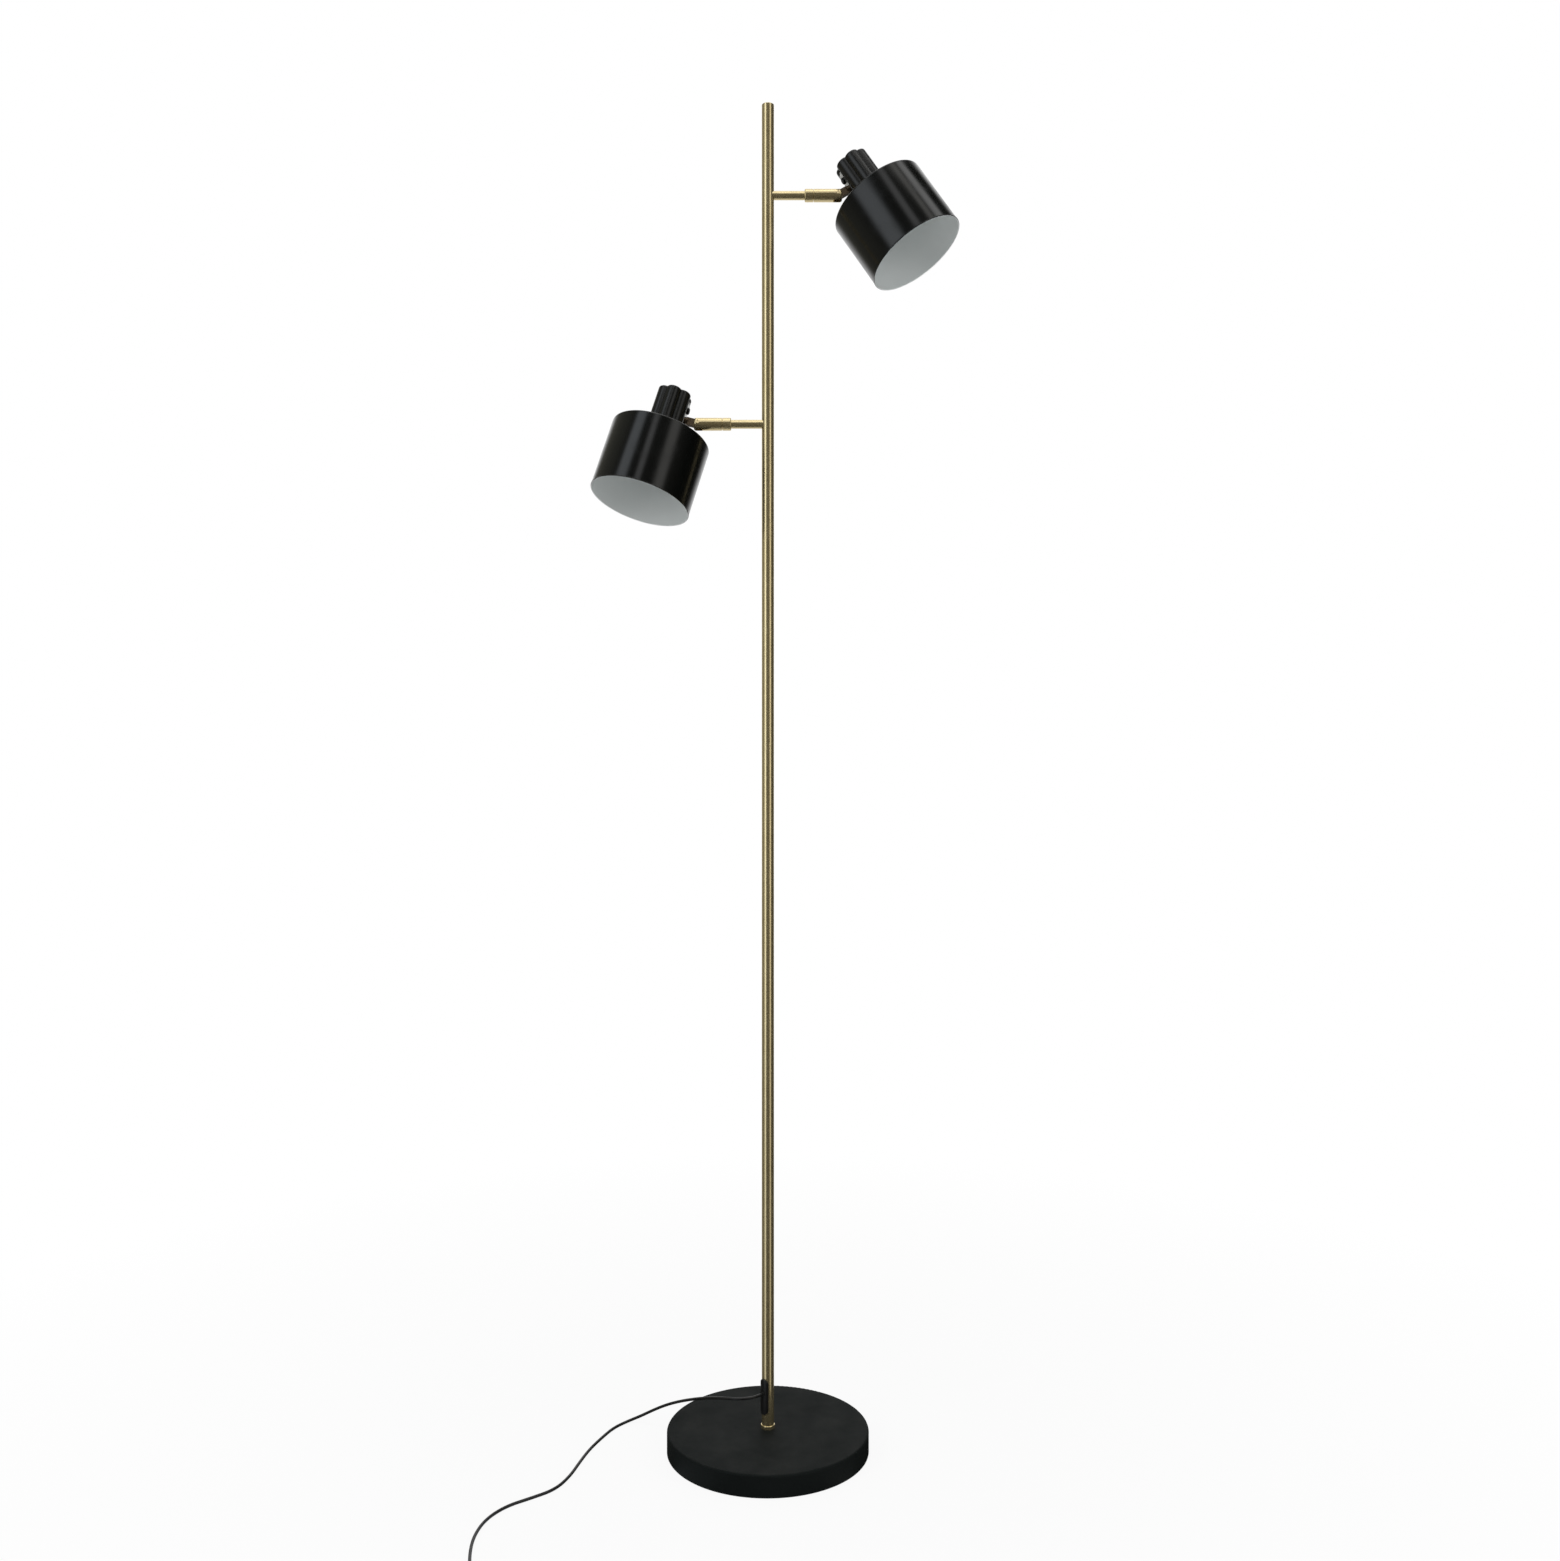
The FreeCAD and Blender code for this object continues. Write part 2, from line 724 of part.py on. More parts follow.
def build_arm(name, placement):
    """Build an arm tube coped to the pole, its collar and its snap ring."""
    radius = s.arm_diameter / 2
    bore = radius - s.arm_wall
    groove = radius - s.ring_inner_depth
    ring_near = s.arm_length - s.ring_setback
    slack = s.side_clearance
    arm = turned(
        f"{name}_arm",
        [
            (bore, s.pole_diameter / 4),
            (radius, s.pole_diameter / 4),
            (radius, ring_near - slack),
            (groove, ring_near - slack),
            (groove, ring_near + s.ring_thickness + slack),
            (radius, ring_near + s.ring_thickness + slack),
            (radius, s.arm_length),
            (bore, s.arm_length),
        ],
    )
    cope = sketch_on(arm, "YZ_Plane")
    circle(cope, s.pole_diameter + s.fit_clearance)
    add_pocket(arm, cope, symmetric=True)

    collar_bore = radius + s.fit_clearance
    collar_edge = s.collar_diameter / 2
    collar_end = s.collar_start + s.collar_length
    collar = turned(
        f"{name}_collar",
        [
            (collar_bore, s.collar_start),
            (collar_edge, s.collar_start, s.collar_round),
            (collar_edge, collar_end - s.seam_chamfer),
            (collar_edge - s.seam_chamfer, collar_end),
            (collar_bore, collar_end),
        ],
    )

    ring = new_body(f"{name}_snap_ring")
    sketch = sketch_on(ring, "XY_Plane", ring_near)
    circle(sketch, (groove + s.fit_clearance) * 2)
    circle(sketch, (radius + s.ring_outer_depth) * 2)
    add_pad(ring, sketch, s.ring_thickness)
    gap = sketch_on(ring, "XY_Plane", ring_near)
    rectangle(gap, -s.ring_gap / 2, s.ring_gap / 2, 0, s.arm_diameter)
    add_pocket(ring, gap, reverse=True)
    for body in (arm, collar, ring):
        body.Placement = placement


def build_barrel(name, placement):
    """Build the swivelling barrel with its fork, and the pivot pin across it."""
    start = s.collar_start + s.collar_length + s.seam_width
    end = start + s.barrel_length
    edge = s.collar_diameter / 2
    socket = s.arm_diameter / 2 + s.running_clearance
    socket_end = s.arm_length + s.barrel_socket_spare
    groove = s.arm_diameter / 2 + s.ring_outer_depth + s.side_clearance
    ring_near = s.arm_length - s.ring_setback
    barrel = turned(
        f"{name}_barrel",
        [
            (socket, start),
            (edge - s.seam_chamfer, start),
            (edge, start + s.seam_chamfer),
            (edge, end, s.barrel_end_radius),
            (0, end),
            (0, socket_end),
            (socket, socket_end),
            (socket, ring_near + s.ring_thickness + s.side_clearance),
            (groove, ring_near + s.ring_thickness + s.side_clearance),
            (groove, ring_near - s.side_clearance),
            (socket, ring_near - s.side_clearance),
        ],
    )
    lead_hole = sketch_on(barrel, "XY_Plane")
    circle(lead_hole, s.barrel_lead_hole)
    add_pocket(barrel, lead_hole, symmetric=True)
    half_slot = s.tongue_thickness / 2 + s.side_clearance
    fork = sketch_on(barrel, "YZ_Plane")
    rectangle(fork, -half_slot, half_slot, end - s.fork_depth, end + s.fork_depth)
    add_pocket(barrel, fork, symmetric=True)
    pivot = end - s.pivot_setback
    pin_hole = sketch_on(barrel, "XZ_Plane")
    circle(pin_hole, s.pivot_diameter + s.fit_clearance * 2, 0, pivot)
    add_pocket(barrel, pin_hole, symmetric=True)

    pin = new_body(f"{name}_pivot_pin")
    sketch = sketch_on(pin, "XZ_Plane")
    circle(sketch, s.pivot_diameter, 0, pivot)
    add_pad(pin, sketch, s.collar_diameter - s.pivot_recess * 2, symmetric=True)
    slot = sketch_on(pin, "XZ_Plane", edge - s.pivot_recess)
    rectangle(
        slot,
        -s.pivot_diameter,
        s.pivot_diameter,
        pivot - s.pivot_slot_width / 2,
        pivot + s.pivot_slot_width / 2,
    )
    add_pocket(pin, slot, s.pivot_slot_depth)
    for body in (barrel, pin):
        body.Placement = placement


# Heads


def head_placement(side, height, tilt, turn):
    """Place a head: hung from its pivot, tilted outwards and turned about its arm."""
    facing = Rotation(Vector(0, 0, 1), 180 if side > 0 else 0)
    tilted = Rotation(Vector(0, 1, 0), -side * tilt.value) * facing
    rotation = Rotation(Vector(1, 0, 0), turn.value) * tilted
    reach = s.collar_start + s.collar_length + s.seam_width
    reach = reach + s.barrel_length - s.pivot_setback
    pivot = Vector(side * reach.value, 0, height.value)
    hang = rotation.multVec(Vector(s.pivot_offset.value, 0, s.pivot_rise.value))
    return Placement(pivot - hang, rotation)


def build_knuckle(name):
    """Build the tongue on its threaded stud, and the nut behind the strap."""
    outside = s.strap_offset + s.strap_thickness
    half = s.tongue_height / 2
    knuckle = new_body(f"{name}_knuckle")
    shoulder = sketch_on(knuckle, "YZ_Plane", outside)
    circle(shoulder, s.tongue_height, 0, s.pivot_rise)
    add_pad(knuckle, shoulder, s.shoulder_length)
    tongue = sketch_on(knuckle, "XZ_Plane")
    root = outside + s.shoulder_length / 2
    rectangle(tongue, root, s.pivot_offset, s.pivot_rise - half, s.pivot_rise + half)
    add_pad(knuckle, tongue, s.tongue_thickness, symmetric=True)
    eye = sketch_on(knuckle, "XZ_Plane")
    circle(eye, s.tongue_height, s.pivot_offset, s.pivot_rise)
    add_pad(knuckle, eye, s.tongue_thickness, symmetric=True)
    stud_tip = s.strap_offset - s.stud_nut_thickness - s.stud_end
    stud = sketch_on(knuckle, "YZ_Plane", stud_tip)
    circle(stud, s.stud_diameter, 0, s.pivot_rise)
    add_pad(knuckle, stud, outside + s.shoulder_length / 2 - stud_tip)
    pin_hole = sketch_on(knuckle, "XZ_Plane")
    pin_bore = s.pivot_diameter + s.running_clearance * 2
    circle(pin_hole, pin_bore, s.pivot_offset, s.pivot_rise)
    add_pocket(knuckle, pin_hole, symmetric=True)
    lead_bore = sketch_on(knuckle, "YZ_Plane", stud_tip)
    circle(lead_bore, s.stud_bore, 0, s.pivot_rise)
    add_pocket(knuckle, lead_bore, outside - stud_tip, reverse=True)

    nut = new_body(f"{name}_knuckle_nut")
    sketch = sketch_on(nut, "YZ_Plane", s.strap_offset - s.stud_nut_thickness)
    flats, reach = s.stud_nut_flats / 2, s.stud_nut_flats / math.sqrt(3)
    outline(
        sketch,
        [
            (flats * x, s.pivot_rise + reach * y)
            for x, y in ((0, -1), (1, -0.5), (1, 0.5), (0, 1), (-1, 0.5), (-1, -0.5))
        ],
    )
    circle(sketch, s.stud_diameter + s.fit_clearance * 2, 0, s.pivot_rise)
    add_pad(nut, sketch, s.stud_nut_thickness)
    return [knuckle, nut]


def build_strap(name):
    """Build the bent strap, and the screw that holds the cover to it."""
    inside = s.strap_offset
    outside = inside + s.strap_thickness
    under = s.strap_top - s.strap_thickness
    strap = new_body(f"{name}_strap")
    side_view = sketch_on(strap, "XZ_Plane")
    outline(
        side_view,
        [
            (inside, s.strap_bottom),
            (outside, s.strap_bottom),
            (outside, s.strap_top, s.strap_bend_radius + s.strap_thickness),
            (-s.strap_reach, s.strap_top),
            (-s.strap_reach, under),
            (inside, under, s.strap_bend_radius),
        ],
    )
    add_pad(strap, side_view, s.strap_width, symmetric=True)
    corner = s.strap_width.value / 2
    add_edge_feature(
        strap,
        "Fillet",
        s.strap_corner_radius,
        lambda edge: abs(edge.Length - s.strap_thickness.value) < 1e-3
        and abs(abs(edge.CenterOfMass.y) - corner) < 1e-3,
    )
    for height, diameter in (
        (s.pivot_rise, s.stud_diameter),
        (s.cover_screw_rise, s.cover_screw_diameter),
    ):
        hole = sketch_on(strap, "YZ_Plane", s.cover_bore / 4)
        circle(hole, diameter + s.fit_clearance * 2, 0, height)
        add_pocket(strap, hole, reverse=True)
    nipple_hole = sketch_on(strap, "XY_Plane")
    circle(nipple_hole, s.nipple_diameter + s.fit_clearance * 2)
    add_pocket(strap, nipple_hole, symmetric=True)

    shank = s.cover_screw_diameter / 2
    head = s.cover_screw_head / 2
    screw = turned(
        f"{name}_cover_screw",
        [
            (0, -s.strap_thickness - s.cross_bar_thickness),
            (shank, -s.strap_thickness - s.cross_bar_thickness),
            (shank, 0),
            (head, 0),
            (head, s.cover_screw_head_height, s.cover_screw_dome),
            (0, s.cover_screw_head_height),
        ],
    )
    slot = sketch_on(screw, "XY_Plane", s.cover_screw_head_height)
    half = s.cover_screw_slot / 2
    rectangle(slot, -s.cover_screw_head, s.cover_screw_head, -half, half)
    add_pocket(screw, slot, s.cover_screw_slot)
    screw.Placement = Placement(
        Vector(outside.value, 0, s.cover_screw_rise.value),
        Rotation(Vector(0, 1, 0), 90),
    )
    return [strap, screw]


def build_cover(name):
    """Build the lobed cover with its slot and the cross bar behind the strap."""
    cover = new_body(f"{name}_cover")
    lobe_sketch = sketch_on(cover, "XY_Plane")
    spread = math.radians(30)
    circle(
        lobe_sketch,
        s.lobe_radius * 2,
        s.lobe_offset * math.cos(spread),
        s.lobe_offset * math.sin(spread),
    )
    lobe = add_pad(cover, lobe_sketch, s.cover_height)
    add_pattern(cover, lobe, 6)
    top = s.cover_height.value
    add_edge_feature(
        cover,
        "Fillet",
        s.lobe_edge_radius,
        lambda edge: abs(edge.BoundBox.ZMin - top) < 1e-3,
    )
    bore = sketch_on(cover, "XY_Plane")
    circle(bore, s.cover_bore)
    add_pocket(cover, bore, s.cover_height - s.cover_top_wall, reverse=True)
    slot = sketch_on(cover, "YZ_Plane")
    half = s.slot_width / 2
    rectangle(slot, -half, half, -s.cover_top_wall, s.slot_top)
    add_pocket(cover, slot, reverse=True)
    bar_outside = s.strap_offset - s.fit_clearance
    bar = sketch_on(cover, "YZ_Plane", bar_outside - s.cross_bar_thickness)
    rectangle(
        bar,
        -s.cross_bar_span / 2,
        s.cross_bar_span / 2,
        s.cover_screw_rise - s.cross_bar_height / 2,
        s.cover_screw_rise + s.cross_bar_height / 2,
    )
    add_pad(cover, bar, s.cross_bar_thickness)
    screw_hole = sketch_on(cover, "YZ_Plane")
    diameter = s.cover_screw_diameter + s.fit_clearance * 2
    circle(screw_hole, diameter, 0, s.cover_screw_rise)
    add_pocket(cover, screw_hole, reverse=True)
    return [cover]


def build_shade(name):
    """Build the deep-drawn shade with a small bead round its opening."""
    outer = s.shade_diameter / 2
    inner = outer - s.shade_wall
    hole = s.holder_skirt_diameter / 2 + s.loose_clearance
    bead_top = s.shade_rim_bead * 4 - s.shade_depth
    shade = turned(
        f"{name}_shade",
        [
            (hole, 0),
            (outer, 0, s.shade_corner_radius),
            (outer, bead_top),
            (outer + s.shade_rim_bead, bead_top - s.shade_rim_bead),
            (outer + s.shade_rim_bead, -s.shade_depth),
            (inner, -s.shade_depth),
            (inner, -s.shade_wall, s.shade_corner_radius - s.shade_wall),
            (hole, -s.shade_wall),
        ],
    )
    return [shade]


def build_holder(name):
    """Build the lamp holder, its thread shell, its nipple and nut, and its ring."""
    under_strap = s.strap_top - s.strap_thickness
    skirt = s.holder_skirt_diameter / 2
    flange = s.holder_flange_diameter / 2
    body = s.holder_diameter / 2
    neck = s.holder_neck_diameter / 2
    nipple_hole = s.nipple_diameter / 2 + s.fit_clearance
    hole_floor = under_strap - s.holder_thread_hole_depth
    mouth = s.mouth_diameter / 2
    mouth_end = s.mouth_depth - s.holder_skirt_length
    shell = s.shell_diameter / 2 + s.fit_clearance
    shell_end = mouth_end + s.shell_length
    holder = turned(
        f"{name}_lamp_holder",
        [
            (mouth, -s.holder_skirt_length),
            (skirt, -s.holder_skirt_length),
            (skirt, 0),
            (flange, 0),
            (flange, s.holder_flange_height),
            (body, s.holder_flange_height),
            (body, s.holder_shoulder),
            (neck, s.holder_neck_rise),
            (neck, under_strap),
            (nipple_hole, under_strap),
            (nipple_hole, hole_floor),
            (0, hole_floor),
            (0, shell_end),
            (shell, shell_end),
            (shell, mouth_end),
            (mouth, mouth_end),
        ],
    )
    thread = tube(
        f"{name}_thread_shell",
        s.shell_diameter,
        s.shell_diameter - s.shell_wall * 2,
        s.shell_length,
    )
    raise_to(thread, mouth_end)
    nipple_length = s.holder_thread_hole_depth + s.strap_thickness
    nipple_length = nipple_length + s.pipe_nut_thickness
    nipple = tube(
        f"{name}_holder_nipple", s.nipple_diameter, s.nipple_bore, nipple_length
    )
    raise_to(nipple, hole_floor)
    nut = raise_to(pipe_nut(f"{name}_holder_nut"), s.strap_top)

    ring_top = -s.shade_wall
    ring_bottom = ring_top - s.shade_ring_height
    ring_edge = s.shade_ring_diameter / 2
    ring_bore = skirt + s.fit_clearance
    ring = turned(
        f"{name}_shade_ring",
        [
            (ring_bore, ring_bottom),
            (ring_edge - s.shade_ring_chamfer, ring_bottom),
            (ring_edge, ring_bottom + s.shade_ring_chamfer),
            (ring_edge, ring_top),
            (ring_bore, ring_top),
        ],
    )
    grip_sketch = sketch_on(ring, "XY_Plane")
    circle(grip_sketch, s.shade_ring_grip_diameter, ring_edge, 0)
    grip = add_pocket(ring, grip_sketch)
    add_pattern(ring, grip, s.shade_ring_grips)
    return [holder, thread, nipple, nut, ring]


def build_side(name, side, height, tilt, turn):
    """Build all that hangs on one side of the pole."""
    build_arm(name, arm_placement(side, height.value))
    build_barrel(name, arm_placement(side, height.value, turn.value))
    placement = head_placement(side, height, tilt, turn)
    pieces = build_knuckle(name) + build_strap(name) + build_cover(name)
    pieces += build_shade(name) + build_holder(name)
    for piece in pieces:
        own = piece.Placement
        piece.setExpression("Placement.Base.z", None)
        piece.Placement = placement * own


# Cord, coil and leads


def add_feature(label, shape):
    """Keep a shape as a sub-part of its own."""
    feature = doc.addObject("Part::Feature", label)
    feature.Label = label
    feature.Shape = shape
    feature.Placement = Placement()
    subparts.append(feature)


def swept(label, edges, diameter):
    """Sweep a round section along tangent edges and compare its volume."""
    path = Part.Wire(edges)
    start = edges[0].valueAt(edges[0].FirstParameter)
    heading = edges[0].tangentAt(edges[0].FirstParameter)
    section = Part.Wire([Part.makeCircle(diameter / 2, start, heading)])
    solid = path.makePipeShell([section], True, False)
    expected = math.pi * diameter**2 / 4 * path.Length
    if abs(solid.Volume / expected - 1) > 0.002:
        raise RuntimeError(f"{label} has the wrong volume")
    print(f"{label}: length {path.Length:.0f}, volume as expected")
    add_feature(label, solid)


def rounded_path(points):
    """Join straight runs by tangent arcs as large as the runs allow."""
    edges, radii = [], []
    start = points[0]
    for before, corner, after in zip(points, points[1:], points[2:]):
        back, ahead = before - corner, after - corner
        reach = 0.45 * min(back.Length, ahead.Length)
        back.normalize()
        ahead.normalize()
        half = back.getAngle(ahead) / 2
        radius = reach * math.tan(half)
        radii.append(radius)
        inward = (back + ahead).normalize()
        nearest = corner + inward * (radius / math.sin(half) - radius)
        enter, leave = corner + back * reach, corner + ahead * reach
        edges.append(Part.LineSegment(start, enter).toShape())
        edges.append(Part.Arc(enter, nearest, leave).toShape())
        start = leave
    edges.append(Part.LineSegment(start, points[-1]).toShape())
    return edges, radii


def laid_cord(label, points):
    """Sweep one free stretch of the cord and print its bends."""
    edges, radii = rounded_path([Vector(*point) for point in points])
    print(f"{label}: bend radii", " ".join(f"{radius:.0f}" for radius in radii))
    swept(label, edges, s.cord_diameter.value)


def biarc(start, heading, end, last_heading):
    """Join two points and headings by two tangent arcs."""
    gap = end - start
    total = heading + last_heading
    spread = 2 * (1 - heading.dot(last_heading))
    along = gap.dot(total)
    step = (math.sqrt(along**2 + spread * gap.dot(gap)) - along) / spread
    middle = (start + end + (heading - last_heading) * step) * 0.5
    arcs = []
    for a, b, tangent in ((start, middle, heading), (end, middle, -last_heading)):
        chord = b - a
        normal = (chord - tangent * chord.dot(tangent)).normalize()
        radius = chord.dot(chord) / (2 * chord.dot(normal))
        centre = a + normal * radius
        on_arc = centre + ((a + b) * 0.5 - centre).normalize() * radius
        points = (a, on_arc, b) if a is start else (b, on_arc, a)
        arcs.append(Part.Arc(*points).toShape())
    return arcs


def coil_point(angle):
    """The coil's middle line: spirals in and out that climb where they reverse."""
    layer_turn = 2 * math.pi * COIL_TURNS_PER_LAYER
    pitch = s.coil_pitch.value / (2 * math.pi)
    phase = angle % (2 * layer_turn)
    inward = min(phase, 2 * layer_turn - phase)
    outer_radius = s.coil_inner_radius.value + pitch * layer_turn
    radius = outer_radius - pitch * inward
    climbed = 0.0
    for reversal in range(1, COIL_LAYERS):
        past = angle - reversal * layer_turn
        eased = max(-math.pi / 2, min(math.pi / 2, past))
        climbed += (1 + math.sin(eased)) / 2
    height = s.cord_diameter.value / 2 + climbed * s.coil_layer_pitch.value
    turn = angle - math.pi / 2
    x, y = COIL_PLACE
    return Vector(x + radius * math.cos(turn), y + radius * math.sin(turn), height)


def build_coil():
    """Wind the put-away cord in one unbroken tube and measure its own gaps."""
    total = 2 * math.pi * COIL_TURNS_PER_LAYER * COIL_LAYERS
    quarters = round(total / (math.pi / 2))
    angles = [total * i / quarters for i in range(quarters + 1)]
    points = [coil_point(angle) for angle in angles]
    nudge = 1e-4
    headings = [
        (coil_point(angle + nudge) - coil_point(angle - nudge)).normalize()
        for angle in angles
    ]
    headings[0] = headings[-1] = Vector(1, 0, 0)
    lead = headings[0] * s.cord_diameter.value
    edges = [Part.LineSegment(points[0] - lead, points[0]).toShape()]
    for i in range(quarters):
        edges += biarc(points[i], headings[i], points[i + 1], headings[i + 1])
    edges.append(Part.LineSegment(points[-1], points[-1] + lead).toShape())
    path = Part.Wire(edges)
    samples = path.discretize(Distance=1.0)
    apart = int(s.coil_inner_radius.value * 2)
    gap = min(
        (samples[i] - samples[j]).Length
        for i in range(len(samples))
        for j in range(i + apart, len(samples))
    )
    print(f"cord_coil: least gap to itself {gap - s.cord_diameter.value:.2f}")
    swept("cord_coil", edges, s.cord_diameter.value)
    return points[0] - lead, points[-1] + lead


def build_leads():
    """Run a lead up the pole and into each arm."""
    offset = s.nipple_bore / 2 - s.lead_diameter / 2 - s.loose_clearance
    for name, side, height in (
        ("upper", 1, s.upper_arm_height),
        ("lower", -1, s.lower_arm_height),
    ):
        y = side * offset.value
        bend = s.lead_bend_radius.value
        middle = bend * (1 - math.cos(math.pi / 4))
        foot = Vector(0, y, s.lead_foot_height.value)
        before = Vector(0, y, height.value - bend)
        nearest = Vector(side * middle, y, height.value - middle)
        after = Vector(side * bend, y, height.value)
        end = Vector(side * s.arm_length.value, y, height.value)
        edges = [
            Part.LineSegment(foot, before).toShape(),
            Part.Arc(before, nearest, after).toShape(),
            Part.LineSegment(after, end).toShape(),
        ]
        swept(f"{name}_lead", edges, s.lead_diameter.value)


def switch_outline(sketch, margin):
    """Draw the foot switch's oblong seen from above, drawn in by a margin."""
    x, y = s.switch_length / 2 - margin, s.switch_width / 2 - margin
    radius = s.switch_end_radius - margin
    outline(sketch, [(-x, -y, radius), (x, -y, radius), (x, y, radius), (-x, y, radius)])


def build_switch():
    """Build the foot switch: its base with two nozzles, its cover and its button."""
    place = Placement(Vector(*SWITCH_PLACE, 0), Rotation())
    base = new_body("switch_base")
    sketch = sketch_on(base, "XY_Plane")
    switch_outline(sketch, as_size(0))
    add_pad(base, sketch, s.switch_base_height)
    reach = s.switch_length + s.switch_nozzle_length * 2
    nozzles = sketch_on(base, "YZ_Plane")
    circle(nozzles, s.switch_nozzle_diameter, 0, s.switch_cord_height)
    add_pad(base, nozzles, reach, symmetric=True)

    cover = new_body("switch_cover")
    sketch = sketch_on(cover, "XY_Plane", s.switch_base_height)
    switch_outline(sketch, as_size(0))
    add_pad(cover, sketch, s.switch_height - s.switch_base_height)
    top = s.switch_height.value
    add_edge_feature(
        cover,
        "Fillet",
        s.switch_top_round,
        lambda edge: abs(edge.BoundBox.ZMin - top) < 1e-3,
    )
    hollow = sketch_on(cover, "XY_Plane", s.switch_base_height)
    switch_outline(hollow, s.switch_wall * 2)
    depth = s.switch_height - s.switch_base_height - s.switch_wall
    add_pocket(cover, hollow, depth, reverse=True)
    opening = sketch_on(cover, "XY_Plane", s.switch_base_height)
    circle(opening, s.button_diameter + s.loose_clearance * 2)
    add_pocket(cover, opening, reverse=True)

    stem = s.button_diameter / 2
    flange = stem + s.button_flange
    ceiling = s.switch_height - s.switch_wall - s.side_clearance
    foot = s.switch_base_height + s.loose_clearance + s.button_travel
    button = turned(
        "switch_button",
        [
            (0, foot),
            (stem - s.button_flange, foot),
            (stem - s.button_flange, ceiling - s.button_flange_height),
            (flange, ceiling - s.button_flange_height),
            (flange, ceiling),
            (stem, ceiling),
            (stem, s.switch_height + s.button_stand_out, s.button_edge_radius),
            (0, s.switch_height + s.button_stand_out),
        ],
    )
    for body in (base, cover, button):
        body.Placement = place


def build_plug():
    """Build the flat plug with its tapered relief, and its two pins."""
    middle = s.plug_thickness / 2
    back, front = s.relief_length, s.relief_length + s.plug_length
    place = Placement(Vector(*PLUG_PLACE, middle.value), Rotation())
    plug = new_body("plug_body")
    sketch = sketch_on(plug, "XY_Plane")
    wide, narrow = s.plug_width / 2, s.plug_end_width / 2
    corner = s.plug_corner_radius
    outline(
        sketch,
        [
            (back, -narrow, corner),
            (back + s.plug_length * 0.45, -wide, corner * 2),
            (front, -wide),
            (front, wide),
            (back + s.plug_length * 0.45, wide, corner * 2),
            (back, narrow, corner),
        ],
    )
    add_pad(plug, sketch, s.plug_thickness, symmetric=True)
    face = front.value
    add_edge_feature(
        plug,
        "Fillet",
        s.plug_edge_round,
        lambda edge: abs(abs(edge.CenterOfMass.z) - middle.value) < 1e-3
        and edge.BoundBox.XMin < face - 1e-3,
    )
    relief = sketch_on(plug, "XZ_Plane")
    tip, root = s.relief_tip_diameter / 2, s.relief_root_diameter / 2
    inside = back + s.plug_corner_radius
    outline(relief, [(0, 0), (inside, 0), (inside, root), (0, tip)])
    taper = plug.newObject("PartDesign::Revolution", "plug_relief")
    taper.Profile = relief
    taper.ReferenceAxis = (relief, ["H_Axis"])
    taper.Angle = 360
    plug.Placement = place

    pins = []
    for side in (-1, 1):
        pin = turned(
            "plug_pin",
            [
                (0, 0),
                (s.plug_pin_diameter / 2, 0),
                (s.plug_pin_diameter / 2, s.plug_pin_length, s.plug_pin_diameter / 4),
                (0, s.plug_pin_length),
            ],
        )
        root_point = Vector(front.value, side * s.plug_pin_spacing.value / 2, 0)
        own = Placement(root_point, Rotation(Vector(0, 1, 0), 90))
        pin.Placement = place * own
        pins.append(pin)
    group("plug_pins", pins)


def build_cord():
    """Lay the cord from the outlet through the switch and the coil to the plug."""
    nozzle_reach = s.pole_diameter / 2 + s.outlet_stand_out + s.nozzle_length
    exit_point = outlet_rotation().multVec(Vector(0, -nozzle_reach.value, 0))
    exit_point.z = (s.outlet_height + s.nozzle_rise).value
    x, y = SWITCH_PLACE
    half = (s.switch_length / 2 + s.switch_nozzle_length).value
    entry = (x - half, y, s.switch_cord_height.value)
    leaving = (x + half, y, s.switch_cord_height.value)
    laid_cord("cord_run", [tuple(exit_point), *CORD_ROUTE, entry])
    coil_start, coil_end = build_coil()
    laid_cord("cord_link", [leaving, *LINK_ROUTE, tuple(coil_start)])
    plug_entry = (*PLUG_PLACE, s.plug_thickness.value / 2)
    laid_cord("cord_tail", [tuple(coil_end), *TAIL_ROUTE, plug_entry])


def check_document():
    """Stop if any object failed or any sub-part has a bad shape."""
    for item in doc.Objects:
        if any(state in ("Invalid", "Error") for state in item.State):
            raise RuntimeError(f"{item.Label} failed")
    for item in subparts:
        if item.Shape.isNull() or not item.Shape.isValid():
            raise RuntimeError(f"{item.Label} has a bad shape")


build_base()
build_pole()
build_outlet()
build_side("upper", 1, s.upper_arm_height, s.upper_tilt, s.upper_turn)
build_side("lower", -1, s.lower_arm_height, s.lower_tilt, s.lower_turn)
build_leads()
build_switch()
build_plug()
build_cord()
doc.recompute()
check_document()
os.makedirs("parts", exist_ok=True)
for subpart in subparts:
    subpart.Shape.exportStep(f"parts/{subpart.Label}.step")
print(f"{len(subparts)} sub-parts written")
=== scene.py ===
"""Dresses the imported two-spot floor lamp: finishes, shades, covers, cords, camera and studio."""

import json
import logging
import math
from collections.abc import Callable, Iterable
from dataclasses import dataclass, field
from enum import Enum

import bmesh
import bpy
from mathutils import Matrix, Vector


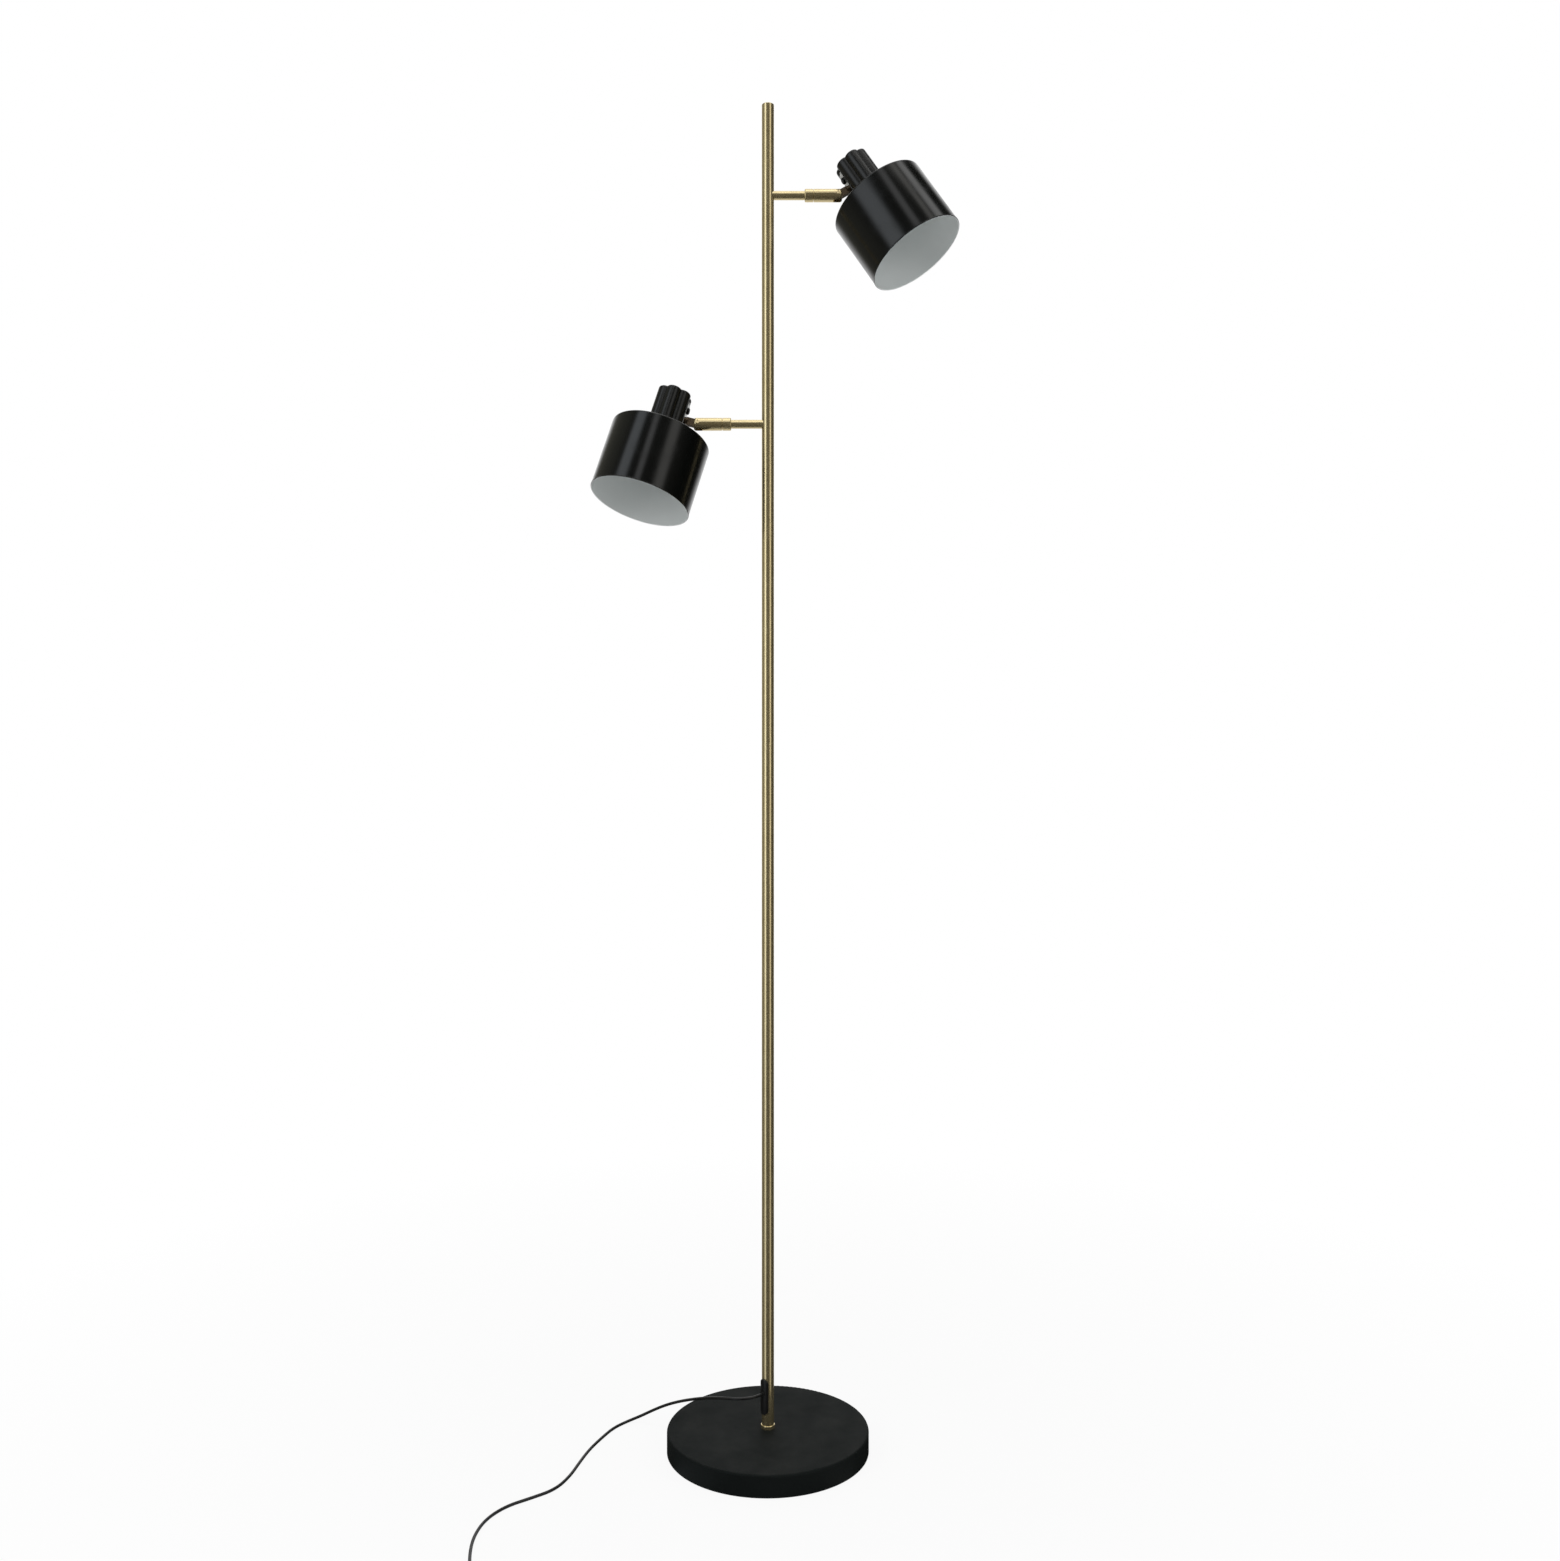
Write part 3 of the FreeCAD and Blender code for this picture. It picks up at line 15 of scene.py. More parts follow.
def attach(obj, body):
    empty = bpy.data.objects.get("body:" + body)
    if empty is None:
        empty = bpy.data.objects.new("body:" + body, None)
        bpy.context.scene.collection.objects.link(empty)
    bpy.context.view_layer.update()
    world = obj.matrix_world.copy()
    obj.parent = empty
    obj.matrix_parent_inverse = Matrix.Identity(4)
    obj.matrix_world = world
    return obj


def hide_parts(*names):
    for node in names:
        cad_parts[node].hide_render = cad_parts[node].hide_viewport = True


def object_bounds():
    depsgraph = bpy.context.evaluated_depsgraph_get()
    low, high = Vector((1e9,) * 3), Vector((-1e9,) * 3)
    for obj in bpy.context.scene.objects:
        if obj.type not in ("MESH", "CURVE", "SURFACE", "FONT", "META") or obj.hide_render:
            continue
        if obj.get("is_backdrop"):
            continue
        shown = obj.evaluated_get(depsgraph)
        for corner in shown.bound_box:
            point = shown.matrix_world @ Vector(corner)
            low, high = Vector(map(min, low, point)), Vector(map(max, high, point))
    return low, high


LOG = logging.getLogger("floor_lamp")
MM = 0.001
SHARP = 35.0

Point = tuple[float, float, float]
Colour = tuple[float, float, float]
Profile = list[tuple[float, float]]

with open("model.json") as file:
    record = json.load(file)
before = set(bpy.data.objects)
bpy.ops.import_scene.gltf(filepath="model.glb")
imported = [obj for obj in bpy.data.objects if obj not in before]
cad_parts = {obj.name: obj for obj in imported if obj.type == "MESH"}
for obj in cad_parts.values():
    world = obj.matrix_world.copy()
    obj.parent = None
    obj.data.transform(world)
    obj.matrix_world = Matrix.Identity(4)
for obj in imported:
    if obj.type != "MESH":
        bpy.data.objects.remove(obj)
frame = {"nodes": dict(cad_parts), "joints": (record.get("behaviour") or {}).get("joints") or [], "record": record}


class Side(Enum):
    """Which head and arm, with the side of the pole that they stand on."""

    UPPER = 1
    LOWER = -1

    @property
    def prefix(self) -> str:
        """The start of its nodes' names."""
        return self.name.lower()


class Worked(Enum):
    """Which way a metal surface was worked, with its lines per metre across and along."""

    DRAWN = (1100.0, 9.0)
    TURNED = (30.0, 2400.0)


class Axis(Enum):
    """The axis that a worked surface follows."""

    UP = (0.0, 0.0, 1.0)
    ACROSS = (1.0, 0.0, 0.0)


# Node trees


class Graph:
    """A node tree with short ways to add and join nodes."""

    def __init__(self, tree: bpy.types.NodeTree) -> None:
        """Wrap a tree.

        Args:
            tree: The node tree that the nodes go into.
        """
        self.tree = tree

    def add(self, kind: str, **settings: object) -> bpy.types.Node:
        """Add a node.

        Args:
            kind: The node's type name.
            settings: Properties set on the node.

        Returns:
            The new node.
        """
        node = self.tree.nodes.new(kind)
        for name, value in settings.items():
            setattr(node, name, value)
        return node

    def feed(self, socket: bpy.types.NodeSocket, source: object) -> None:
        """Link a socket to another, or set its value.

        Args:
            socket: The input socket.
            source: An output socket, or a plain value.
        """
        if isinstance(source, bpy.types.NodeSocket):
            self.tree.links.new(source, socket)
        else:
            socket.default_value = source

    def math(self, operation: str, first: object, second: object = 0.0) -> bpy.types.NodeSocket:
        """Work out one value from two.

        Args:
            operation: The math node's operation.
            first: A socket or number.
            second: A socket or number.

        Returns:
            The result's socket.
        """
        node = self.add("ShaderNodeMath", operation=operation)
        self.feed(node.inputs[0], first)
        self.feed(node.inputs[1], second)
        return node.outputs[0]

    def spread(
        self, value: object, low: float, high: float, start: float = 0.0, end: float = 1.0
    ) -> bpy.types.NodeSocket:
        """Map a value from one range to another, clamped.

        Args:
            value: The socket to map.
            low: Where the result is start.
            high: Where the result is end.
            start: The result at low.
            end: The result at high.

        Returns:
            The result's socket.
        """
        node = self.add("ShaderNodeMapRange")
        for index, item in enumerate((value, low, high, start, end)):
            self.feed(node.inputs[index], item)
        return node.outputs[0]

    def blend(self, mask: object, first: object, second: object) -> bpy.types.NodeSocket:
        """Mix two colours by a mask.

        Args:
            mask: A socket or number, 0 for the first colour.
            first: A colour or its socket.
            second: A colour or its socket.

        Returns:
            The mixed colour's socket.
        """
        node = self.add("ShaderNodeMix", data_type="RGBA")
        self.feed(node.inputs["Factor"], mask)
        for name, item in (("A", first), ("B", second)):
            socket = next(s for s in node.inputs if s.name == name and s.type == "RGBA")
            self.feed(socket, (*item, 1.0) if isinstance(item, tuple) else item)
        return next(s for s in node.outputs if s.type == "RGBA")

    def stretched(self, vector: object, scale: object) -> bpy.types.NodeSocket:
        """Multiply a vector by another, axis by axis.

        Args:
            vector: The vector's socket.
            scale: A vector or its socket.

        Returns:
            The product's socket.
        """
        node = self.add("ShaderNodeVectorMath", operation="MULTIPLY")
        self.feed(node.inputs[0], vector)
        self.feed(node.inputs[1], scale)
        return node.outputs["Vector"]

    def noise(self, vector: object, scale: object, detail: float = 2.0) -> bpy.types.NodeSocket:
        """Sample a noise.

        Args:
            vector: Where it is sampled.
            scale: Its scale, per unit of the vector.
            detail: How many finer layers it has.

        Returns:
            The noise's value.
        """
        node = self.add("ShaderNodeTexNoise")
        self.feed(node.inputs["Vector"], vector)
        self.feed(node.inputs["Scale"], scale)
        node.inputs["Detail"].default_value = detail
        return node.outputs["Fac"]


class EffectGroup(Graph):
    """A shared node group with a vector input, named numbers and named results."""

    def __init__(self, name: str, values: dict[str, float], results: Iterable[str]) -> None:
        """Start the group.

        Args:
            name: The group's name.
            values: Its number inputs and their usual values.
            results: Its outputs, all numbers.
        """
        super().__init__(bpy.data.node_groups.new(name, "ShaderNodeTree"))
        face = self.tree.interface
        face.new_socket("Vector", in_out="INPUT", socket_type="NodeSocketVector")
        for label, value in values.items():
            socket = face.new_socket(label, in_out="INPUT", socket_type="NodeSocketFloat")
            socket.default_value = value
        for label in results:
            face.new_socket(label, in_out="OUTPUT", socket_type="NodeSocketFloat")
        self.inlet = self.add("NodeGroupInput")
        self.outlet = self.add("NodeGroupOutput")

    def given(self, label: str) -> bpy.types.NodeSocket:
        """The socket of one of the group's inputs."""
        return self.inlet.outputs[label]

    def give(self, label: str, source: object) -> None:
        """Feed one of the group's outputs."""
        self.feed(self.outlet.inputs[label], source)


class Effects:
    """The effects that several materials share, each built once."""

    def __init__(self) -> None:
        """Build every effect group."""
        self.scratches = self._scratches()
        self.grain = self._grain()
        self.clouding = self._clouding()
        self.handling = self._handling()
        self.dust = self._dust()

    def _scratches(self) -> bpy.types.NodeTree:
        """Fine parallel scratches along the vector's Z, of two widths.

        Returns:
            The group.
        """
        group = EffectGroup("metal_scratches", {"Across": 1100.0, "Along": 9.0}, ["Height", "Tone"])
        scale = group.add("ShaderNodeCombineXYZ")
        for axis, label in (("X", "Across"), ("Y", "Across"), ("Z", "Along")):
            group.feed(scale.inputs[axis], group.given(label))
        lines = group.stretched(group.given("Vector"), scale.outputs["Vector"])
        coarser, wide_share = 0.22, 0.6
        fine = group.noise(lines, 1.0, 3.0)
        wide = group.noise(lines, coarser, 2.0)
        broad = group.math("MULTIPLY", wide, wide_share)
        group.give("Height", group.math("ADD", fine, broad))
        group.give("Tone", group.spread(wide, 0.32, 0.68))
        return group.tree

    def _grain(self) -> bpy.types.NodeTree:
        """Even small bumps, as in powder paint, a moulding or a casting.

        Returns:
            The group.
        """
        group = EffectGroup("fine_grain", {"Scale": 1800.0, "Cells": 0.5}, ["Height", "Speckle"])
        soft = group.noise(group.given("Vector"), group.given("Scale"), 3.0)
        cells = group.add("ShaderNodeTexVoronoi", feature="SMOOTH_F1")
        group.feed(cells.inputs["Vector"], group.given("Vector"))
        group.feed(cells.inputs["Scale"], group.given("Scale"))
        domes = group.math("MULTIPLY", cells.outputs["Distance"], group.given("Cells"))
        group.give("Height", group.math("SUBTRACT", soft, domes))
        group.give("Speckle", group.spread(soft, 0.58, 0.74))
        return group.tree

    def _clouding(self) -> bpy.types.NodeTree:
        """Slow uneven patches, as in ageing lacquer or a sprayed coat.

        Returns:
            The group.
        """
        group = EffectGroup("slow_clouding", {"Scale": 22.0}, ["Patches"])
        broad = group.noise(group.given("Vector"), group.given("Scale"), 4.0)
        group.give("Patches", group.spread(broad, 0.34, 0.7))
        return group.tree

    def _handling(self) -> bpy.types.NodeTree:
        """Faint smears that hands leave on a smooth surface.

        Returns:
            The group.
        """
        group = EffectGroup("handling_smears", {"Scale": 60.0}, ["Smears"])
        warp_scale, warp_reach = 35.0, 0.03
        warp = group.noise(group.given("Vector"), warp_scale, 1.0)
        bent = group.add("ShaderNodeVectorMath", operation="ADD")
        group.feed(bent.inputs[0], group.given("Vector"))
        group.feed(bent.inputs[1], group.math("MULTIPLY", warp, warp_reach))
        smear = group.noise(bent.outputs["Vector"], group.given("Scale"), 5.0)
        group.give("Smears", group.spread(smear, 0.5, 0.78))
        return group.tree

    def _dust(self) -> bpy.types.NodeTree:
        """Specks and film that settle on what faces up.

        Returns:
            The group.
        """
        group = EffectGroup("settled_dust", {"Scale": 900.0, "Amount": 0.1}, ["Dust"])
        parts = group.add("ShaderNodeSeparateXYZ")
        group.feed(parts.inputs[0], group.add("ShaderNodeNewGeometry").outputs["Normal"])
        tilted, level, film_scale = 0.6, 0.98, 30.0
        upward = group.spread(parts.outputs["Z"], tilted, level)
        specks = group.spread(group.noise(group.given("Vector"), group.given("Scale")), 0.66, 0.76)
        film = group.spread(group.noise(group.given("Vector"), film_scale, 3.0), 0.35, 0.9)
        amount = group.math("MULTIPLY", upward, group.given("Amount"))
        group.give("Dust", group.math("MULTIPLY", amount, group.math("ADD", specks, film)))
        return group.tree


EFFECTS = Effects()


class Coat(Graph):
    """One material: a Principled surface and the effects that feed it."""

    def __init__(self, name: str, origin: Point = (0.0, 0.0, 0.0), axis: Axis = Axis.UP) -> None:
        """Start the material.

        Args:
            name: The material's name.
            origin: A point on the worked axis, in the object's own frame.
            axis: The axis that the effects' Z runs along.
        """
        self.material = bpy.data.materials.new(name)
        self.material.use_nodes = True
        super().__init__(self.material.node_tree)
        self.tree.nodes.clear()
        self.surface = self.add("ShaderNodeBsdfPrincipled")
        self.output = self.add("ShaderNodeOutputMaterial")
        self.feed(self.output.inputs["Surface"], self.surface.outputs["BSDF"])
        place = self.add("ShaderNodeMapping", vector_type="TEXTURE")
        self.feed(place.inputs["Vector"], self.add("ShaderNodeTexCoord").outputs["Object"])
        turn = Vector(Axis.UP.value).rotation_difference(Vector(axis.value))
        place.inputs["Location"].default_value = origin
        place.inputs["Rotation"].default_value = turn.to_euler()
        self.vector = place.outputs["Vector"]

    def effect(self, group: bpy.types.NodeTree, **values: float) -> bpy.types.Node:
        """Place an effect with its own values.

        Args:
            group: One of the shared groups.
            values: Its inputs.

        Returns:
            The group's node.
        """
        node = self.add("ShaderNodeGroup", node_tree=group)
        self.feed(node.inputs["Vector"], self.vector)
        for label, value in values.items():
            node.inputs[label].default_value = value
        return node

    def set(self, **values: object) -> None:
        """Set or feed sockets of the surface.

        Args:
            values: Each socket's value or source, with its name's spaces as underscores.
        """
        for label, value in values.items():
            value = (*value, 1.0) if isinstance(value, tuple) else value
            self.feed(self.surface.inputs[label.replace("_", " ")], value)

    def bump(self, height: object, distance: float, strength: float = 1.0) -> None:
        """Raise the surface by a height.

        Args:
            height: The height's socket, about 0 to 1.
            distance: How high 1 is, in metres.
            strength: How much of it shows.
        """
        node = self.add("ShaderNodeBump")
        node.inputs["Distance"].default_value = distance
        node.inputs["Strength"].default_value = strength
        self.feed(node.inputs["Height"], height)
        self.set(Normal=node.outputs["Normal"])


# Finishes


@dataclass(frozen=True)
class SatinBrass:
    """Lacquered brass, drawn or turned, clouded a little with age."""

    name: str
    worked: Worked
    axis: Axis = Axis.UP
    origin: Point = (0.0, 0.0, 0.0)
    bright: Colour = (0.85, 0.71, 0.41)
    dull: Colour = (0.7, 0.56, 0.285)
    roughness: float = 0.21
    smeared: float = 0.1
    metallic: float = 0.92
    lacquer: float = 0.3
    lacquer_roughness: float = 0.09
    patch_scale: float = 26.0
    smear_scale: float = 75.0
    line_share: float = 0.1
    patch_share: float = 0.4
    line_height: float = 8.0e-7
    line_strength: float = 0.12

    def material(self) -> bpy.types.Material:
        """Build the material.

        Returns:
            The material.
        """
        coat = Coat(self.name, self.origin, self.axis)
        across, along = self.worked.value
        lines = coat.effect(EFFECTS.scratches, Across=across, Along=along)
        patches = coat.effect(EFFECTS.clouding, Scale=self.patch_scale).outputs["Patches"]
        smears = coat.effect(EFFECTS.handling, Scale=self.smear_scale).outputs["Smears"]
        tone = coat.math("MULTIPLY", lines.outputs["Tone"], self.line_share)
        tone = coat.math("ADD", tone, coat.math("MULTIPLY", patches, self.patch_share))
        roughest = self.roughness + self.smeared
        coat.set(
            Base_Color=coat.blend(tone, self.bright, self.dull),
            Metallic=self.metallic,
            Roughness=coat.spread(smears, 0.0, 1.0, self.roughness, roughest),
            Coat_Weight=self.lacquer,
            Coat_Roughness=self.lacquer_roughness,
        )
        coat.bump(lines.outputs["Height"], self.line_height, self.line_strength)
        return coat.material


@dataclass(frozen=True)
class Enamel:
    """Stoved enamel with a trace of orange peel, smears and dust."""

    name: str
    colour: Colour
    film: Colour
    roughness: float
    peel: float = 8.0e-6
    dust: float = 0.05
    dust_colour: Colour = (0.32, 0.31, 0.29)
    dust_roughness: float = 0.4
    smeared: float = 0.1
    peel_scale: float = 380.0
    peel_cells: float = 0.3
    peel_strength: float = 0.35
    smear_scale: float = 48.0
    patch_scale: float = 14.0
    patch_share: float = 0.4

    def material(self) -> bpy.types.Material:
        """Build the material.

        Returns:
            The material.
        """
        coat = Coat(self.name)
        peel = coat.effect(EFFECTS.grain, Scale=self.peel_scale, Cells=self.peel_cells)
        smears = coat.effect(EFFECTS.handling, Scale=self.smear_scale).outputs["Smears"]
        dust = coat.effect(EFFECTS.dust, Amount=self.dust).outputs["Dust"]
        patches = coat.effect(EFFECTS.clouding, Scale=self.patch_scale).outputs["Patches"]
        clouded = coat.math("MULTIPLY", patches, self.patch_share)
        base = coat.blend(clouded, self.colour, self.film)
        rough = coat.spread(smears, 0.0, 1.0, self.roughness, self.roughness + self.smeared)
        dusty = coat.math("MULTIPLY", dust, self.dust_roughness)
        coat.set(
            Base_Color=coat.blend(dust, base, self.dust_colour),
            Roughness=coat.math("ADD", rough, dusty),
        )
        coat.bump(peel.outputs["Height"], self.peel, self.peel_strength)
        return coat.material


@dataclass(frozen=True)
class Grained:
    """Paint, plastic, foam or cast iron with an even grain of its own."""

    name: str
    colour: Colour
    fleck: Colour
    roughness: float
    scale: float = 1800.0
    height: float = 2.0e-5
    metallic: float = 0.0
    specular: float = 0.5
    dust: float = 0.04
    dust_colour: Colour = (0.34, 0.33, 0.31)
    patch_scale: float = 18.0
    patch_share: float = 0.3
    fleck_share: float = 0.4
    smoother: float = 0.04
    rougher: float = 0.06
    grain_strength: float = 0.5

    def material(self) -> bpy.types.Material:
        """Build the material.

        Returns:
            The material.
        """
        coat = Coat(self.name)
        grain = coat.effect(EFFECTS.grain, Scale=self.scale)
        patches = coat.effect(EFFECTS.clouding, Scale=self.patch_scale).outputs["Patches"]
        dust = coat.effect(EFFECTS.dust, Amount=self.dust).outputs["Dust"]
        flecks = coat.math("MULTIPLY", grain.outputs["Speckle"], self.fleck_share)
        mask = coat.math("ADD", flecks, coat.math("MULTIPLY", patches, self.patch_share))
        base = coat.blend(mask, self.colour, self.fleck)
        low, high = self.roughness - self.smoother, self.roughness + self.rougher
        coat.set(
            Base_Color=coat.blend(dust, base, self.dust_colour),
            Roughness=coat.spread(patches, 0.0, 1.0, low, high),
            Metallic=self.metallic,
            Specular_IOR_Level=self.specular,
        )
        coat.bump(grain.outputs["Height"], self.height, self.grain_strength)
        return coat.material


@dataclass(frozen=True)
class Plated:
    """Thin plating or patina on small metal pieces, with rubbed traces."""

    name: str
    colour: Colour
    worn: Colour
    roughness: float
    rougher: float = 0.16
    lines_across: float = 700.0
    lines_along: float = 110.0
    line_share: float = 0.25
    line_height: float = 2.0e-6
    line_strength: float = 0.4
    patch_scale: float = 150.0
    patch_share: float = 0.6

    def material(self) -> bpy.types.Material:
        """Build the material.

        Returns:
            The material.
        """
        coat = Coat(self.name)
        across, along = self.lines_across, self.lines_along
        lines = coat.effect(EFFECTS.scratches, Across=across, Along=along)
        patches = coat.effect(EFFECTS.clouding, Scale=self.patch_scale).outputs["Patches"]
        mask = coat.math("MULTIPLY", patches, self.patch_share)
        worked = coat.math("MULTIPLY", lines.outputs["Tone"], self.line_share)
        mask = coat.math("ADD", mask, worked)
        roughest = self.roughness + self.rougher
        coat.set(
            Base_Color=coat.blend(mask, self.colour, self.worn),
            Metallic=1.0,
            Roughness=coat.spread(patches, 0.0, 1.0, self.roughness, roughest),
        )
        coat.bump(lines.outputs["Height"], self.line_height, self.line_strength)
        return coat.material


Finish = SatinBrass | Enamel | Grained | Plated


class Palette:
    """The lamp's finishes, each made into a material once."""

    drawn_brass = SatinBrass("drawn_brass", Worked.DRAWN)
    turned_brass = SatinBrass("turned_brass", Worked.TURNED)
    shade_black = Enamel("shade_black", (0.0012, 0.0017, 0.0018), (0.0026, 0.0032, 0.0033), 0.17)
    shade_inside = Enamel("shade_inside", (0.75, 0.78, 0.775), (0.7, 0.73, 0.725), 0.42, dust=0.0)
    cover_black = Grained(
        "cover_black", (0.0016, 0.002, 0.002), (0.0036, 0.004, 0.004), 0.3, 900.0, 3.0e-6
    )
    base_black = Grained(
        "base_black", (0.0066, 0.0084, 0.0081), (0.011, 0.0132, 0.0128), 0.66, 1500.0, 1.4e-5,
        specular=0.06,
    )
    moulded_black = Grained(
        "moulded_black", (0.008, 0.008, 0.008), (0.014, 0.014, 0.014), 0.36, 1400.0, 8.0e-6
    )
    sheath_black = Grained(
        "sheath_black", (0.008, 0.008, 0.008), (0.015, 0.015, 0.015), 0.42, 1600.0, 6.0e-6
    )
    foam = Grained("floor_foam", (0.03, 0.03, 0.03), (0.06, 0.06, 0.06), 0.9, 900.0, 1.0e-4)
    iron = Grained(
        "cast_iron", (0.09, 0.09, 0.09), (0.14, 0.13, 0.12), 0.6, 500.0, 1.0e-4, metallic=0.7
    )
    holder_white = Grained(
        "holder_white", (0.66, 0.67, 0.65), (0.58, 0.58, 0.55), 0.35, 1600.0, 6.0e-6, dust=0.0
    )
    zinc = Plated("zinc_plate", (0.62, 0.63, 0.61), (0.46, 0.47, 0.46), 0.3)
    # The knuckles' brass, darkened to paint in the shade they sit in.
    bronze = Plated("dark_bronze", (0.1, 0.075, 0.05), (0.17, 0.13, 0.09), 0.38)
    black_steel = Plated("blackened_steel", (0.02, 0.02, 0.02), (0.05, 0.05, 0.05), 0.35)
    nickel = Plated("nickel_plate", (0.66, 0.64, 0.6), (0.5, 0.48, 0.44), 0.2)

    def __init__(self) -> None:
        """Start with no material made."""
        self.made: dict[str, bpy.types.Material] = {}

    def get(self, finish: Finish) -> bpy.types.Material:
        """Give a finish's material, made when it is first asked for.

        Args:
            finish: One of the finishes.

        Returns:
            Its material.
        """
        if finish.name not in self.made:
            self.made[finish.name] = finish.material()
        return self.made[finish.name]


# Meshes


def arc(centre: tuple[float, float], radius: float, start: float, end: float, steps: int) -> Profile:
    """Points along an arc.

    Args:
        centre: The arc's centre.
        radius: Its radius.
        start: Its first angle, in degrees.
        end: Its last angle, in degrees.
        steps: How many stretches it has.

    Returns:
        The points, with both ends.
    """
    angles = [math.radians(start + (end - start) * step / steps) for step in range(steps + 1)]
    return [(centre[0] + radius * math.cos(a), centre[1] + radius * math.sin(a)) for a in angles]


def circle(radius: float, height: float, points: int) -> list[Point]:
    """Points round a level circle about the Z axis.

    Args:
        radius: Its radius.
        height: Its height.
        points: How many points it has.

    Returns:
        The points.
    """
    angles = [2 * math.pi * i / points for i in range(points)]
    return [(radius * math.cos(a), radius * math.sin(a), height) for a in angles]


class Solid:
    """A mesh under construction, in millimetres, built ring by ring."""

    def __init__(self) -> None:
        """Start empty."""
        self.mesh = bmesh.new()

    def ring(self, points: Iterable[Point]) -> list[bmesh.types.BMVert]:
        """Add a closed ring of points.

        Args:
            points: Its points.

        Returns:
            Its vertices.
        """
        return [self.mesh.verts.new(point) for point in points]

    def skin(
        self, rings: list[list[bmesh.types.BMVert]], material: Callable[[int], int] = lambda _: 0
    ) -> None:
        """Join each ring to the next with four-sided faces.

        Args:
            rings: The rings in order, all with the same count.
            material: Gives the material's number for each stretch.
        """
        for stretch, (near, far) in enumerate(zip(rings, rings[1:])):
            count = len(near)
            for i in range(count):
                j = (i + 1) % count
                face = self.mesh.faces.new((near[i], near[j], far[j], far[i]))
                face.material_index = material(stretch)

    def cap(self, ring: list[bmesh.types.BMVert]) -> None:
        """Close a ring with one face."""
        self.mesh.faces.new(ring)

    def finished(self, name: str, sharp: float = SHARP) -> bpy.types.Object:
        """Turn the faces out and make the object.

        Args:
            name: The object's name.
            sharp: The angle above which an edge stays sharp, in degrees.

        Returns:
            The object, in metres.
        """
        bmesh.ops.recalc_face_normals(self.mesh, faces=self.mesh.faces)
        bmesh.ops.scale(self.mesh, vec=(MM, MM, MM), verts=self.mesh.verts)
        data = bpy.data.meshes.new(name)
        self.mesh.to_mesh(data)
        self.mesh.free()
        data.shade_smooth()
        data.set_sharp_from_angle(angle=math.radians(sharp))
        made = bpy.data.objects.new(name, data)
        bpy.context.scene.collection.objects.link(made)
        return made


def block(low: Point, high: Point) -> bpy.types.Object:
    """Make a plain block that only cuts or joins.

    Args:
        low: Its lowest corner, in millimetres.
        high: Its highest corner, in millimetres.

    Returns:
        The block.
    """
    solid = Solid()
    rings = [
        solid.ring([(low[0], low[1], z), (high[0], low[1], z), (*high[:2], z), (low[0], high[1], z)])
        for z in (low[2], high[2])
    ]
    solid.skin(rings)
    for ring in rings:
        solid.cap(ring)
    return solid.finished("working_block")


def combine(piece: bpy.types.Object, tool: bpy.types.Object, operation: str) -> None:
    """Cut a piece by a tool or join them, and remove the tool.

    Args:
        piece: The piece that stays.
        tool: The object that is used up.
        operation: The Boolean modifier's operation.
    """
    step = piece.modifiers.new("step", "BOOLEAN")
    step.object, step.operation, step.solver = tool, operation, "EXACT"
    shape = piece.evaluated_get(bpy.context.evaluated_depsgraph_get())
    result = bpy.data.meshes.new_from_object(shape)
    piece.modifiers.clear()
    old, piece.data = piece.data, result
    result.name = piece.name
    bpy.data.meshes.remove(old)
    bpy.data.objects.remove(tool)


# The lamp's sub-assemblies


@dataclass
class SubAssembly:
    """Some of the lamp's pieces, and how they get their finishes."""

    palette: Palette

    def dress(self, finish: Finish, *nodes: str) -> None:
        """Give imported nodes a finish.

        Args:
            finish: The finish.
            nodes: The nodes' names.
        """
        for name in nodes:
            for place in frame["nodes"][name].material_slots:
                place.material = self.palette.get(finish)
            LOG.info("dressed %s in %s", name, finish.name)

    def mount(
        self, piece: bpy.types.Object, body: str, slot: str, node: str, *finishes: Finish
    ) -> None:
        """Put a piece in its node's place.

        Args:
            piece: The new piece, already where it belongs.
            body: The body that it rides on.
            slot: Not used; it names the record's material slot.
            node: The node that it stands for.
            finishes: Its finishes, in the order of its material numbers.
        """
        for finish in finishes:
            piece.data.materials.append(self.palette.get(finish))
        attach(piece, body)
        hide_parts(node)
        LOG.info("built %s in place of %s", piece.name, node)


@dataclass
class FloorBase(SubAssembly):
    """The painted drum on the floor, with its weight and pad."""

    def build(self) -> None:
        """Dress its nodes."""
        self.dress(Palette.base_black, "base_shell")
        self.dress(Palette.iron, "base_weight")
        self.dress(Palette.foam, "base_pad")
        self.dress(Palette.zinc, "base_washer", "base_nut", "base_nipple")


@dataclass
class Pole(SubAssembly):
    """The brass pole, its ferrule, cap and joints, and the cable outlet in its foot."""

    def build(self) -> None:
        """Dress its nodes."""
        self.dress(Palette.drawn_brass, "pole_lower_tube", "pole_middle_tube", "pole_upper_tube")
        self.dress(Palette.turned_brass, "pole_ferrule", "pole_cap", "pole_bushes")
        self.dress(Palette.zinc, "pole_nipples")
        self.dress(Palette.moulded_black, "cable_outlet")
        self.dress(Palette.sheath_black, "upper_lead", "lower_lead")


